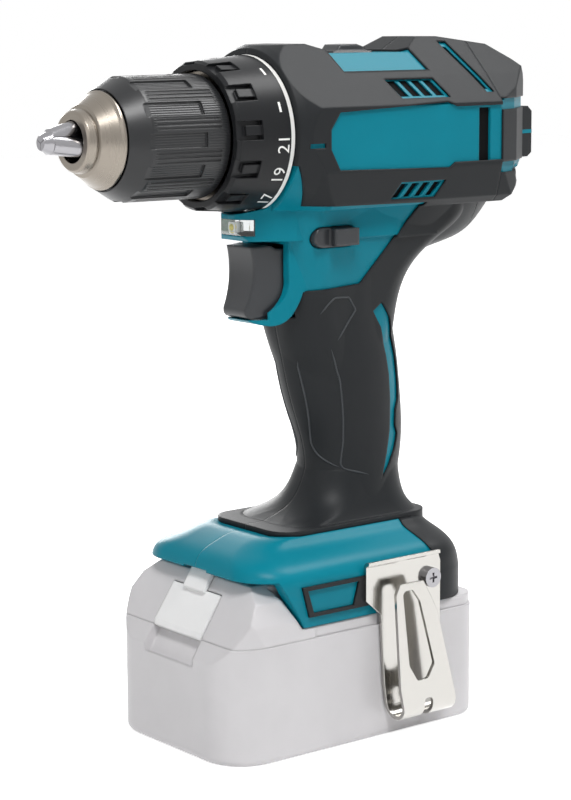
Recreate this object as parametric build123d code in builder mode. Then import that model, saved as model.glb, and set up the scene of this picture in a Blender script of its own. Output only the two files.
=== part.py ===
"""Cordless drill driver with keyless chuck, two-stage planetary gears and a slide-on battery.

Frame: millimetres, +Z up, +X from the chuck to the rear, -Y is the side with the belt hook.
The origin is the middle of the battery's flat underside.
"""

import os
from math import acos, cos, pi, radians, sin, sqrt, tan

from build123d import *

os.makedirs("parts", exist_ok=True)

# Clearances
RUN = 0.3  # between pieces that move past each other
SHAFT_RUN = 0.05  # radial clearance of a shaft in its bearing
SEAT = 0.1  # radial clearance of a piece seated in a bore
SKIN = 0.8  # thickness of the soft layer moulded over the housing
WALL = 2.6  # housing wall

# Drive line, measured along X at the height of the chuck axis
AXIS_Z = 216.0
JAW_TIP_X = -105.0
NOSE_X = -93.0
SLEEVE_FRONT_X = -81.5
SLEEVE_REAR_X = -42.4
RING_FRONT_X = -43.0
BODY_FRONT_X = -20.0
SEAM_X = 73.0
COVER_REAR_X = 99.0
BUMPER_X = 107.0

# Chuck
SLEEVE_R = 21.4
NOSE_R = 10.3
NOSE_RIM_R = 16.6
NOSE_HOLE_R = 7.2
CHUCK_R = 16.8
CHUCK_NECK_R = 12.0
CHUCK_REAR_X = -43.0
NUT_X = -80.0
NUT_LENGTH = 6.0
JAW_R = 3.4
JAW_ANGLE = 15.0
JAW_LENGTH = 30.0
JAW_OFFSET = 0.2
JAW_GAP = 0.12
NUT_R = 16.8
SLEEVE_BORE_R = 18.9
SCREW_SHANK_R = 2.4
FLUTES = 12
FLUTE_DEPTH = 0.9
FLUTE_WIDTH = 5.0
FLUTE_LENGTH = 29.0
RIB_PITCH = 4.2
RIB_DEPTH = 0.35
RIB_WIDTH = 0.7

# Torque ring and clutch
RING_R = 27.4
RING_BORE_R = 22.5
RING_POCKETS = 12
POCKET_START = -6.0
POCKET_DEPTH = 3.0
POCKET_WIDTH = 6.6
POCKET_LENGTH = 10.0
BLOCK_IN_POCKET = 3.2
BLOCK_IN_POCKET_R = 25.7
CLUTCH_WIRE_R = 0.9
CLUTCH_COIL_R = 19.7
CASE_NOSE_R = 17.0
CASE_NOSE_X = -39.0
PILOT_X = -24.5
CLUTCH_NUT_X = -33.5
CLUTCH_NUT_LENGTH = 3.0

# Spindle
SPINDLE_R = 7.5
SPINDLE_TIP_R = 6.3
SPINDLE_TIP_X = -59.8
BEARING_R = 13.0
BEARING_X = -37.0
BEARING_LENGTH = 8.0
BUSH_R = 10.0
BUSH_X = -22.0
BUSH_LENGTH = 6.0
SPINDLE_END_R = 6.0

# Gears
MODULE = 0.7
PRESSURE = radians(25)
ADDENDUM = 0.65
DEDENDUM = 0.95
BACKLASH = 0.16
RING_TEETH = 54
SUN_TEETH_1 = 24
SUN_TEETH_2 = 12
PLANETS = 3
FACE = 7.0
GEAR_RING_R = 22.6
CASE_R = 25.0
STAGE_2_X = -9.2
STAGE_1_X = 2.8
PLATE = 3.5
PIN_R = 2.0
CASE_REAR_X = 13.0
SHIFT = 4.5
CASE_FLOOR_X = -13.9
CARRIER_R = 17.6
CARRIER_2_X = -13.2
CARRIER_1_X = -1.2
SHIFT_RING_X = 3.2
SHIFT_RING_LENGTH = 8.0
FORK_HALF = 3.0
FORK_X = 8.0
FORK = 3.0

# Motor
YOKE_R = 20.5
YOKE_WALL = 2.3
YOKE_X = 36.0
YOKE_LENGTH = 40.0
MAGNET = 3.6
CORE_R = 13.6
CORE_LENGTH = 28.0
SHAFT_R = 2.5
MOTOR_BEARING_R = 8.0
MOTOR_BEARING_LENGTH = 5.0
FRONT_BEARING_X = 18.0
REAR_BEARING_X = 88.5
FAN_R = 19.5
FAN_X = 26.5
FAN_LENGTH = 7.0
COMMUTATOR_R = 8.0
COMMUTATOR_X = 78.0
COMMUTATOR_LENGTH = 8.0
MAGNET_GAP = 6.0
FAN_BLADES = 11
BRUSH_HALF = 3.0
BRUSH_HOLDER_R = 17.3

# Body
BODY_HALF = 31.5
TOP_Z = 244.4
HUMP_Z = 249.0
CAVITY_R = 25.3
SCREW_R = 1.6
SCREW_HEAD_R = 3.2
SCREW_HEAD = 2.4
BOSS_R = 4.2

RIB_X = 38.0
RIB = 3.0
COVER_BORE_R = 24.0
COVER_BORE_END_X = 77.0
REAR_BEARING_R = 6.5
COVER_SCREW_X = 82.0
COVER_SCREW_Y = 23.5
COVER_SCREW_DROP = -17.0
COVER_SCREW_LENGTH = 22.0
LENS_BACK_X = -24.0
LENS_HALF = 12.0
LENS_Z = 181.0
LENS_HEIGHT = 5.6
SLIDE_X = 8.0
SLIDE_LENGTH = 30.0
SLIDE_HALF = 7.6
SLIDE_Z = TOP_Z - SKIN - 1.2
SLIDE = 0.9
KNOB_PLATE_X = 14.0
KNOB_PLATE_LENGTH = 18.0
KNOB_PLATE_HALF = 6.0
KNOB_PLATE = 0.9
KNOB_X = 17.0
KNOB_LENGTH = 13.5
KNOB_HALF = 4.5
KNOB = 2.4

# Trigger and switch
TRIGGER_HALF = 10.0
TRIGGER_BOTTOM_Z = 151.5
TRIGGER_TOP_Z = 177.2
TRIGGER_BACK_X = -12.0
TRIGGER_STEM = 2.0
TRIGGER_COIL_R = 3.0
TRIGGER_WIRE_R = 0.45
TRIGGER_TURNS = 4
SWITCH_X = -2.0
SWITCH_LENGTH = 32.0
SWITCH_HALF = 9.5
SWITCH_TOP_Z = 176.0
LEVER_X = 2.2
LEVER_Z = 180.0
LEVER_LENGTH = 19.0
LEVER_HEIGHT = 7.0
LEVER_HALF = 21.8
LEVER_BLOCK_X = -0.4
LEVER_BLOCK_HEIGHT = 6.0
LEVER_BLOCK_HALF = 25.0

# Foot and battery
FOOT_FRONT_X = -46.0
FOOT_REAR_X = 56.0
FOOT_HALF = 38.2
SKIRT_Z = 46.3
DECK_Z = 62.0
BATTERY_FRONT_X = -57.0
BATTERY_REAR_X = 58.0
BATTERY_HALF = 37.5
BATTERY_CORNER = 9.0
BATTERY_FRONT_CORNER = 16.5
BATTERY_EDGE = 2.5
CASE_TOP_Z = 42.0
BATTERY_TOP_Z = 61.4
BATTERY_WALL = 2.2
RAIL_Z = 47.0
RAIL_HEIGHT = 5.0
RAIL_INNER = 28.4
HEAD_HALF = 31.0
CELL_R = 9.2
CELL_LENGTH = 65.0
CELL_PITCH = 19.2
BLOCK_X = 2.0
BLOCK_LENGTH = 32.0
BLOCK_HALF = 14.0
BLADE_Y = 8.0
BLOCK_FLANGE = 1.5
BLOCK_FLANGE_HEIGHT = 2.0
BAY_HALF = 35.6
BAY_CORNER = 14.0
LATCH_HALF = 6.0
BLADE = 5.7
BUTTON_HALF = 14.0
BUTTON_TOP = 6.0
BUTTON_FOOT = 23.0
BUTTON_DEPTH = 3.2
BUTTON_RUN = 0.4
INSERT_X = 30.8
INSERT_Z = 56.5
INSERT_R = 3.0
INSERT_BORE_R = 2.0
INSERT_LENGTH = 4.8
FRAME_PLATE = 1.0

# Belt hook
HOOK_STEEL = 1.4
HOOK_TOP_Z = 65.5
HOOK_BEND_Z = 13.0
HOOK_LIP_Z = 57.5
HOOK_BEND_R = 4.8
HOOK_LEAN = 3.5
HOOK_SCREW_R = 1.95
HOOK_HEAD_R = 3.6
HOOK_HEAD = 2.2
HOOK_RECESS = 0.9
HOOK_WIDTH = 50.0
HOOK_LEG_GAP = 4.0

DRIVE_PLANE = Plane(origin=(0, 0, AXIS_Z), x_dir=(1, 0, 0), z_dir=(0, -1, 0))
DRIVE_AXIS = Axis((0, 0, AXIS_Z), (1, 0, 0))
REACH = 200.0  # longer than any cut has to be


def across(x):
    """Plane square to the drive line: local x is +Y, local y is +Z, its normal +X."""
    return Plane(origin=(x, 0, AXIS_Z), x_dir=(0, 1, 0), z_dir=(1, 0, 0))


def write(part, name):
    part.label = name
    export_step(part, f"parts/{name}.step")


def turned(outline):
    """Solid of revolution about the drive line from (x, radius) points."""
    with BuildPart() as made:
        with BuildSketch(DRIVE_PLANE):
            with BuildLine():
                Polyline(*outline, close=True)
            make_face()
        revolve(axis=DRIVE_AXIS)
    return made.part


def tube(x, length, outer, inner):
    """Ring about the drive line."""
    return turned([(x, inner), (x, outer), (x + length, outer), (x + length, inner)])


def side_prism(outline, low=-REACH, high=REACH):
    """Block with the given (x, z) outline, between two values of y."""
    with BuildPart() as made:
        with BuildSketch(Plane.XZ.offset(-high)):
            with BuildLine():
                Polyline(*outline, close=True)
            make_face()
        extrude(amount=high - low)
    return made.part


def mirrored(half):
    """Closed outline from the points on one side of its axis of symmetry."""
    return half + [(-across_axis, along) for across_axis, along in reversed(half) if across_axis]


# Housing: outer shape of the soft layer, and the plastic shape one layer below it

BODY_SIDE = [
    (BODY_FRONT_X, AXIS_Z - 27), (BODY_FRONT_X, TOP_Z + 2.2), (-3, TOP_Z + 2.6), (6, TOP_Z), (42, TOP_Z),
    (50, HUMP_Z), (60, HUMP_Z), (82, HUMP_Z - 3), (90, HUMP_Z - 8.5), (COVER_REAR_X - 3, AXIS_Z + 19),
    (COVER_REAR_X, AXIS_Z + 11), (COVER_REAR_X, AXIS_Z - 12), (COVER_REAR_X - 8, AXIS_Z - 16),
    (78, AXIS_Z - 27),
]
BODY_SECTION = mirrored([
    (0, 33), (9, 33), (22.5, 19.5), (BODY_HALF, 9.5), (BODY_HALF, -13), (28.5, -24.5), (25, -28), (0, -28),
])
BODY_PLAN = mirrored([
    (0, BODY_FRONT_X), (BODY_HALF, BODY_FRONT_X), (BODY_HALF, SEAM_X), (27, 84), (17, COVER_REAR_X - 2),
    (12, COVER_REAR_X), (0, COVER_REAR_X),
])
FRONT_TAPER = [
    (BODY_FRONT_X, 0), (BODY_FRONT_X, 29.6), (-17, 31), (-11, 33.2), (-3, 38), (BUMPER_X, 38), (BUMPER_X, 0),
]
# Grip stations: height, front, back and half width
GRIP = [
    (70, -1, 52, 19), (84, 2.6, 44.6, 17), (96, 5.2, 46.4, 16.5), (110, 2.0, 47.4, 17), (122, -2, 46.4, 17.5),
    (134, -5, 45, 17.5), (147, -8, 43, 17.6), (158, -9, 44, 18.6), (167, -10, 47.6, 20),
    (172, -11, 58, 20.7), (178, -13, 80, 21.8), (185, -14, 88, 23.5), (193, -15, 92, 25.5),
]
# Upper grip stations: height, front, back, half width and corner radius
CHEEK = [
    (128, -2.5, 40, 15, 14.9), (147, -8, 41, 17, 14), (158, -9.6, 42, 18.4, 13), (167, -11, 46, 20, 13),
    (178, -13.5, 60, 21.8, 13), (190, -15, 70, 23, 13),
]
# Collar plate on the foot, and the stations of the flare from it up to the grip
PLATE_FRONT_X = -22.5
PLATE_REAR_X = 48.0
PLATE_HALF = 22.3
PLATE_CORNER = 9.0
PLATE_TOP_Z = 76.6
FLARE = [
    (75, -17, 47.6, 21, 10), (78, -10, 47, 19.2, 13), (81, -3.2, 46.2, 17.8, 15), (86, 1.8, 45.4, 16.5, 15.5),
    (94, 5.4, 45, 15.2, 15),
]
# Dome stations of the foot
FOOT_CORNER = 17.0
FOOT_WALL_Z = 57.0
DOME = [
    (FOOT_WALL_Z, FOOT_FRONT_X, FOOT_REAR_X, FOOT_HALF, FOOT_CORNER), (62.5, -46, 54.6, 38.1, 17),
    (66, -45.3, 52.8, 36.6, 16), (69, -43.4, 50.8, 32.6, 14.5), (72, -38, 48.4, 26.5, 12.5),
    (74.6, -25, 45, 18.5, 9),
]
NOSE_PLAN = mirrored([(0, -29.8), (4, -29.8), (9, -26), (18, -12), (22.5, 8), (23.3, 30), (22, 50), (0, 50)])
GUARD_INNER = [(-12.4, 166), (-14, 158.8), (-19, 154.2), (-25.2, 152.4)]
GUARD_OUTER = [(-25.6, 151.4), (-22, 149.6), (-15.2, 149.6), (-9.9, 154.4), (-7, 160.6)]
GUARD_PLAN = mirrored([
    (0, -26), (3.5, -26), (6.5, -24.5), (10.8, -19), (13.6, -12), (15.2, -5), (15.4, 4), (0, 4),
])


def barrel(inset):
    """Faceted body: side outline, cross section and plan, cut out of each other."""
    with BuildPart() as made:
        with BuildSketch(Plane.XZ):
            with BuildLine():
                Polyline(*BODY_SIDE, close=True)
            make_face()
            if inset:
                offset(amount=-inset, kind=Kind.INTERSECTION, mode=Mode.REPLACE)
        extrude(amount=BODY_HALF, both=True)
        with BuildSketch(across(0)):
            with BuildLine():
                Polyline(*BODY_SECTION, close=True)
            make_face()
            if inset:
                offset(amount=-inset, kind=Kind.INTERSECTION, mode=Mode.REPLACE)
        extrude(amount=REACH, both=True, mode=Mode.INTERSECT)
        with BuildSketch(Plane.XY.offset(AXIS_Z)):
            with BuildLine():
                Polyline(*[(x, y) for y, x in BODY_PLAN], close=True)
            make_face()
            if inset:
                offset(amount=-inset, kind=Kind.INTERSECTION, mode=Mode.REPLACE)
        extrude(amount=REACH, both=True, mode=Mode.INTERSECT)
        add(turned([(x, r - inset if r else 0) for x, r in FRONT_TAPER]), mode=Mode.INTERSECT)
    return made.part


def grip(inset, low=0, high=1000):
    """Pistol grip and lower body: a smooth skin through oval stations."""
    with BuildPart() as made:
        for height, front, back, half in GRIP:
            if low <= height <= high:
                with BuildSketch(Plane.XY.offset(height)):
                    with Locations(((front + back) / 2, 0)):
                        Ellipse((back - front) / 2 - inset, half - inset)
        loft()
    return made.part


def rounded_loft(stations, inset):
    """Smooth skin through rounded rectangles, each with its height, front, back, half width and corner."""
    with BuildPart() as made:
        for height, front, back, half_width, corner in stations:
            with BuildSketch(Plane.XY.offset(height)):
                with Locations(((front + back) / 2, 0)):
                    RectangleRounded(back - front - 2 * inset, 2 * (half_width - inset), corner - inset)
        loft()
    return made.part


def rounded_block(x0, x1, half_width, corner, z0, z1):
    """Upright block with rounded corners, symmetrical about the middle plane."""
    with BuildPart() as made:
        with BuildSketch(Plane.XY.offset(z0)):
            with Locations(((x0 + x1) / 2, 0)):
                RectangleRounded(x1 - x0, 2 * half_width, corner)
        extrude(amount=z1 - z0)
    return made.part


def collar(inset):
    """Plate on top of the foot and the flare from it into the grip."""
    with BuildPart() as made:
        add(rounded_block(PLATE_FRONT_X + inset, PLATE_REAR_X - inset, PLATE_HALF - inset, PLATE_CORNER - inset,
                          DECK_Z + WALL, PLATE_TOP_Z - inset))
        add(rounded_loft(FLARE, inset))
    return made.part


def nose(inset):
    """Lamp nose under the torque ring, run back along the lower body."""
    with BuildPart() as made:
        with BuildSketch(Plane.XZ):
            with BuildLine():
                Polyline((-29.8, 190.5), (-29.3, 182), (-26, 178.2), (50, 178.2), (50, 196), (-19, 196), close=True)
            make_face()
            if inset:
                offset(amount=-inset, kind=Kind.INTERSECTION, mode=Mode.REPLACE)
        extrude(amount=24, both=True)
        with BuildSketch(Plane.XY.offset(170)):
            with BuildLine():
                Polyline(*[(x, y) for y, x in NOSE_PLAN], close=True)
            make_face()
            if inset:
                offset(amount=-inset, kind=Kind.INTERSECTION, mode=Mode.REPLACE)
        extrude(amount=60, mode=Mode.INTERSECT)
        add(turned([(JAW_TIP_X, 0), (JAW_TIP_X, RING_R + RUN), (BODY_FRONT_X, RING_R + RUN), (BODY_FRONT_X, 0)]),
            mode=Mode.SUBTRACT)
    return made.part


def guard():
    """Rim round the back of the trigger and the lip under it."""
    with BuildPart() as made:
        with BuildSketch(Plane.XZ):
            with BuildLine():
                Line((GUARD_INNER[0][0], LEVER_Z), GUARD_INNER[0])
                Spline(*GUARD_INNER)
                Line(GUARD_INNER[-1], GUARD_OUTER[0])
                Spline(*GUARD_OUTER)
                Polyline(GUARD_OUTER[-1], (4, GUARD_OUTER[-1][1]), (4, LEVER_Z), (GUARD_INNER[0][0], LEVER_Z))
            make_face()
        extrude(amount=FOOT_HALF, both=True)
        with BuildSketch(Plane.XY.offset(TRIGGER_BOTTOM_Z - 10)):
            with BuildLine():
                Polyline(*[(x, y) for y, x in GUARD_PLAN], close=True)
            make_face()
        extrude(amount=REACH, mode=Mode.INTERSECT)
    return made.part


def foot(inset):
    """Foot over the battery: upright walls, a dome on top, cut back along the battery's slope in front."""
    with BuildPart() as made:
        add(rounded_block(FOOT_FRONT_X + inset, FOOT_REAR_X - inset, FOOT_HALF - inset, FOOT_CORNER - inset,
                          SKIRT_Z, FOOT_WALL_Z))
        add(rounded_loft(DOME, inset))
        add(side_prism([(-25, SKIRT_Z - 1), (-25, SKIRT_Z), (-35, DECK_Z + 1.5), (-60, DECK_Z + 1.5),
                        (-60, SKIRT_Z - 1)]), mode=Mode.SUBTRACT)
    return made.part


with BuildPart() as outer_shape:
    add(barrel(0))
    add(grip(0))
    add(rounded_loft(CHEEK, 0))
    add(nose(0))
    add(guard())
    add(foot(0))
    add(collar(0))

with BuildPart() as core_shape:
    add(barrel(SKIN))
    add(grip(SKIN))
    add(rounded_loft(CHEEK, SKIN))
    add(nose(SKIN))
    add(guard())
    add(foot(SKIN))
    add(collar(SKIN))


def half(part, side):
    """The part of a solid on one side of the middle plane, -1 for -Y and 1 for +Y."""
    with BuildPart() as made:
        add(part)
        split(bisect_by=Plane.XZ, keep=Keep.TOP if side < 0 else Keep.BOTTOM)
    return made.part


# Soft layer: where it covers the plastic, and the windows in it
REAR_BOX = [(SEAM_X, 170), (SEAM_X, 260), (130, 260), (130, 170)]
GRIP_REGION = [
    (-25, 206), (-19, 206), (-12.5, 191.5), (40, 190.5), (15.5, 162.3), (-7, 160.8), (-30, 160.8), (-30, 79),
    (100, 79), (100, 170), (130, 190), (130, 260), (-25, 260),
]
TAIL_REGION = [(36, 40), (35.5, 62), (31, 73), (31, 80), (80, 80), (80, 40)]
SIDE_WINDOW = [
    (-7.6, 211.2), (-3.6, 204), (47.5, 202.8), (50, 204.6), (SEAM_X, 204.6), (SEAM_X, 224.4), (51, 224.4),
    (47, 226), (-3.6, 223.8), (-7.6, 218),
]
MARK_WINDOW = [(-16.5, 211.9), (-10, 211.9), (-10, 213.5), (-16.5, 213.5)]
SLIT_WINDOW = [(59, 247), (63, 247), (71.6, 229), (68, 229)]
UPPER_VENT = [(23, 234.2), (45.8, 234.2), (49.2, 227.7), (26.4, 227.7)]
LOWER_VENT = [(25.4, 198.4), (46.6, 198.4), (42.6, 192.4), (21.4, 192.4)]
STRIPE = [
    (23, 151.6), (26.8, 154.6), (32, 148.5), (36, 140), (38.7, 131.4), (39.3, 123), (38.9, 117.6),
    (36.4, 113.8),
    (35.9, 108.2), (37.7, 104.7), (36.2, 99.8), (32.3, 93.6), (28.4, 89.2), (30.9, 98.7), (32.3, 106.8),
    (32.6, 118.1), (32.1, 127.4), (30.7, 134.7), (27.4, 145.2),
]
TOP_WINDOW = [(3, -7), (7, -20.6), (46.5, -20.6), (41.5, -8), (41.5, 8), (46.5, 20.6), (7, 20.6), (3, 7)]
UPPER_STRIP = [(SEAM_X, 222.8), (SEAM_X, 226.6), (130, 226.6), (130, 222.8)]
LOWER_STRIP = [(SEAM_X, 199.8), (SEAM_X, 203.4), (130, 203.4), (130, 199.8)]
BAND = [(SEAM_X, 203.4), (SEAM_X, 222.8), (130, 222.8), (130, 203.4)]

with BuildPart() as top_window:
    with BuildSketch(Plane.XY.offset(AXIS_Z + 12)):
        with BuildLine():
            Polyline(*TOP_WINDOW, close=True)
        make_face()
    extrude(amount=REACH)

collar_region = rounded_block(PLATE_FRONT_X, PLATE_REAR_X, PLATE_HALF, PLATE_CORNER, DECK_Z, 82)

with BuildPart() as region:
    add(side_prism(GRIP_REGION))
    add(side_prism(TAIL_REGION))
    add(collar_region)

with BuildPart() as skin:
    add(outer_shape.part)
    add(core_shape.part, mode=Mode.SUBTRACT)
    add(region.part, mode=Mode.INTERSECT)
    add(top_window.part, mode=Mode.SUBTRACT)
    for window in (SIDE_WINDOW, MARK_WINDOW, SLIT_WINDOW, UPPER_VENT, LOWER_VENT, STRIPE):
        add(side_prism(window), mode=Mode.SUBTRACT)


# Housing halves and rear cover, hollowed for what they hold
CAVITY = [
    (BODY_FRONT_X - 1, 0), (BODY_FRONT_X - 1, CAVITY_R), (RIB_X, CAVITY_R), (RIB_X, YOKE_R + SEAT),
    (RIB_X + RIB, YOKE_R + SEAT), (RIB_X + RIB, CAVITY_R), (SEAM_X - 1 - RIB, CAVITY_R),
    (SEAM_X - 1 - RIB, YOKE_R + SEAT), (SEAM_X - 1, YOKE_R + SEAT), (SEAM_X - 1, CAVITY_R),
    (SEAM_X, CAVITY_R),
    (SEAM_X, 0),
]
BATTERY_BAY = mirrored([
    (0, SKIRT_Z - 2), (BAY_HALF, SKIRT_Z - 2), (BAY_HALF, RAIL_Z), (RAIL_INNER, RAIL_Z),
    (RAIL_INNER, RAIL_Z + RAIL_HEIGHT), (HEAD_HALF + 1, RAIL_Z + RAIL_HEIGHT), (HEAD_HALF + 1, DECK_Z),
    (0, DECK_Z),
])
SCREWS = [(40, 181), (-15, 187), (31, 132), (33, 97), (-30, 68), (43.5, 68)]
SCREW_HEAD_Y = 8.0


def upright_box(x0, x1, y, z0, z1):
    """Box symmetrical about the middle plane."""
    return side_prism([(x0, z0), (x0, z1), (x1, z1), (x1, z0)], -y, y)


def along_y(x, z, radius, low, high):
    """Round bar square to the middle plane."""
    with BuildPart() as made:
        with BuildSketch(Plane.XZ.offset(-high)):
            with Locations((x, z)):
                Circle(radius)
        extrude(amount=high - low)
    return made.part


with BuildPart() as battery_bay:
    with BuildSketch(Plane.YZ.offset(FOOT_FRONT_X - 10)):
        with BuildLine():
            Polyline(*BATTERY_BAY, close=True)
        make_face()
    extrude(amount=REACH)
    add(rounded_block(FOOT_FRONT_X - REACH, FOOT_REAR_X - SKIN - WALL, BAY_HALF, BAY_CORNER, 0, DECK_Z + 1),
        mode=Mode.INTERSECT)

with BuildPart() as lever_hole:
    with BuildSketch(Plane.XZ):
        with Locations((LEVER_X, LEVER_Z)):
            SlotOverall(LEVER_LENGTH + 2 * RUN, LEVER_HEIGHT + 2 * RUN)
    extrude(amount=FOOT_HALF, both=True)

with BuildPart() as vents:
    for k in range(4):
        x = 24.2 + 5.6 * k
        add(side_prism([(x, 233.6), (x + 3.8, 233.6), (x + 6.6, 228.3), (x + 2.8, 228.3)]))
        x = 22.6 + 5.2 * k
        add(side_prism([(x + 3.4, 197.8), (x + 6.6, 197.8), (x + 3.2, 193), (x, 193)]))
    add(side_prism([(62, 203.4), (62, 223.6), (67.6, 223.6), (67.6, 203.4)]))
    add(side_prism([(60.6, 245), (62.4, 245), (70, 230), (68.4, 230)]))

# Hollows that thin the wall behind the vents
with BuildPart() as vent_hollow:
    add(barrel(SKIN + WALL))
    add(upright_box(18, RIB_X - 0.5, BODY_HALF, AXIS_Z - 40, AXIS_Z + 40), mode=Mode.INTERSECT)

with BuildPart() as rear_hollow:
    add(barrel(SKIN + WALL))
    add(upright_box(RIB_X + RIB + 0.5, SEAM_X - 2 - RIB, BODY_HALF, AXIS_Z + 6, AXIS_Z + 40), mode=Mode.INTERSECT)

with BuildPart() as low_hollow:
    add(barrel(SKIN + WALL))
    add(upright_box(RIB_X + RIB + 0.5, 54, BODY_HALF, AXIS_Z - 40, AXIS_Z + 7), mode=Mode.INTERSECT)

trigger_space = upright_box(JAW_TIP_X, SWITCH_X + SWITCH_LENGTH, TRIGGER_HALF + RUN,
                            TRIGGER_BOTTOM_Z - RUN, TRIGGER_TOP_Z + RUN)
lens_block = upright_box(-35, LENS_BACK_X, LENS_HALF, LENS_Z, LENS_Z + LENS_HEIGHT)

with BuildPart() as housing:
    add(core_shape.part)
    add(turned(CAVITY), mode=Mode.SUBTRACT)
    for hollow in (vent_hollow, rear_hollow, low_hollow):
        add(hollow.part, mode=Mode.SUBTRACT)
    add(grip(WALL + SKIN, 84, 185), mode=Mode.SUBTRACT)
    add(upright_box(-2, 40, 13.5, DECK_Z + WALL, 86), mode=Mode.SUBTRACT)
    for screw_x, screw_z in SCREWS[2:4]:
        add(along_y(screw_x, screw_z, BOSS_R, -11.5, 11.5))
    add(battery_bay.part, mode=Mode.SUBTRACT)
    add(upright_box(BLOCK_X - SEAT, BLOCK_X + BLOCK_LENGTH + SEAT, BLOCK_HALF + SEAT, DECK_Z - 1, DECK_Z + 5),
        mode=Mode.SUBTRACT)
    add(upright_box(BLOCK_X - BLOCK_FLANGE - SEAT, BLOCK_X + BLOCK_LENGTH + BLOCK_FLANGE + SEAT,
                    BLOCK_HALF + BLOCK_FLANGE + SEAT, DECK_Z + WALL, DECK_Z + WALL + BLOCK_FLANGE_HEIGHT + SEAT),
        mode=Mode.SUBTRACT)
    add(upright_box(-47, -36, LATCH_HALF + 0.8, DECK_Z - 1, DECK_Z + 2.2), mode=Mode.SUBTRACT)
    add(trigger_space, mode=Mode.SUBTRACT)
    add(lever_hole.part, mode=Mode.SUBTRACT)
    add(vents.part, mode=Mode.SUBTRACT)
    add(upright_box(-40, LENS_BACK_X, LENS_HALF + SEAT, LENS_Z - SEAT, LENS_Z + LENS_HEIGHT + SEAT),
        mode=Mode.SUBTRACT)
    add(upright_box(LENS_BACK_X - 1, LENS_BACK_X + 3, 8.6, LENS_Z - 0.6, LENS_Z + LENS_HEIGHT + 0.6),
        mode=Mode.SUBTRACT)
    add(upright_box(SLIDE_X - SHIFT - RUN, SLIDE_X + SLIDE_LENGTH + RUN, SLIDE_HALF + RUN, SLIDE_Z, TOP_Z + 2),
        mode=Mode.SUBTRACT)
    add(upright_box(FORK_X - SHIFT - RUN, FORK_X + FORK + RUN, FORK_HALF + RUN, AXIS_Z + GEAR_RING_R, TOP_Z),
        mode=Mode.SUBTRACT)
    for side in (-1, 1):
        add(along_y(INSERT_X, INSERT_Z, INSERT_R + SEAT, side * FOOT_HALF - 6, side * FOOT_HALF + 6),
            mode=Mode.SUBTRACT)
    for screw_x, screw_z in SCREWS:
        add(along_y(screw_x, screw_z, SCREW_R + SEAT, -10.5, SCREW_HEAD_Y + 1), mode=Mode.SUBTRACT)
        add(along_y(screw_x, screw_z, SCREW_HEAD_R + 0.2, SCREW_HEAD_Y, FOOT_HALF), mode=Mode.SUBTRACT)
    for side in (-1, 1):
        with BuildSketch(across(COVER_SCREW_X - COVER_SCREW_LENGTH - 1)):
            with Locations((side * COVER_SCREW_Y, COVER_SCREW_DROP)):
                Circle(SCREW_R + SEAT)
        extrude(amount=COVER_SCREW_LENGTH, mode=Mode.SUBTRACT)
    add(side_prism(REAR_BOX), mode=Mode.SUBTRACT)

write(half(housing.part, -1), "housing_left")
write(half(housing.part, 1), "housing_right")

with BuildPart() as front_skin:
    add(skin.part)
    add(side_prism(REAR_BOX), mode=Mode.SUBTRACT)
    add(trigger_space, mode=Mode.SUBTRACT)
    add(turned([(BODY_FRONT_X - 1, 0), (BODY_FRONT_X - 1, CAVITY_R), (0, CAVITY_R), (0, 0)]), mode=Mode.SUBTRACT)
    add(lever_hole.part, mode=Mode.SUBTRACT)
    add(battery_bay.part, mode=Mode.SUBTRACT)
    for screw_x, screw_z in SCREWS:
        add(along_y(screw_x, screw_z, SCREW_HEAD_R + 0.2, SCREW_HEAD_Y, FOOT_HALF), mode=Mode.SUBTRACT)
write(half(front_skin.part, -1), "grip_left")
write(half(front_skin.part, 1), "grip_right")

with BuildPart() as rear_cover:
    add(core_shape.part)
    add(side_prism(REAR_BOX), mode=Mode.INTERSECT)
    add(turned([(SEAM_X - 1, 0), (SEAM_X - 1, COVER_BORE_R), (COVER_BORE_END_X, COVER_BORE_R),
                (COVER_REAR_X - 5, 10.5), (COVER_REAR_X - 5, 0)]), mode=Mode.SUBTRACT)
    add(tube(REAR_BEARING_X, COVER_REAR_X - 5 - REAR_BEARING_X, REAR_BEARING_R + 3, REAR_BEARING_R + SEAT))
    for side in (-1, 1):
        with BuildSketch(across(SEAM_X - 1)):
            with Locations((side * COVER_SCREW_Y, COVER_SCREW_DROP)):
                Circle(SCREW_R + SEAT)
        extrude(amount=12, mode=Mode.SUBTRACT)
        with BuildSketch(across(COVER_SCREW_X)):
            with Locations((side * COVER_SCREW_Y, COVER_SCREW_DROP)):
                Circle(SCREW_HEAD_R + 0.2)
        extrude(amount=30, mode=Mode.SUBTRACT)
write(rear_cover.part, "rear_cover")

with BuildPart() as rear_skin:
    add(skin.part)
    add(side_prism(REAR_BOX), mode=Mode.INTERSECT)
    for strip in (UPPER_STRIP, LOWER_STRIP, BAND):
        add(side_prism(strip), mode=Mode.SUBTRACT)
    for side in (-1, 1):
        with BuildSketch(across(COVER_SCREW_X)):
            with Locations((side * COVER_SCREW_Y, COVER_SCREW_DROP)):
                Circle(SCREW_HEAD_R + 0.2)
        extrude(amount=30, mode=Mode.SUBTRACT)
write(rear_skin.part, "rear_skin")

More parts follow.
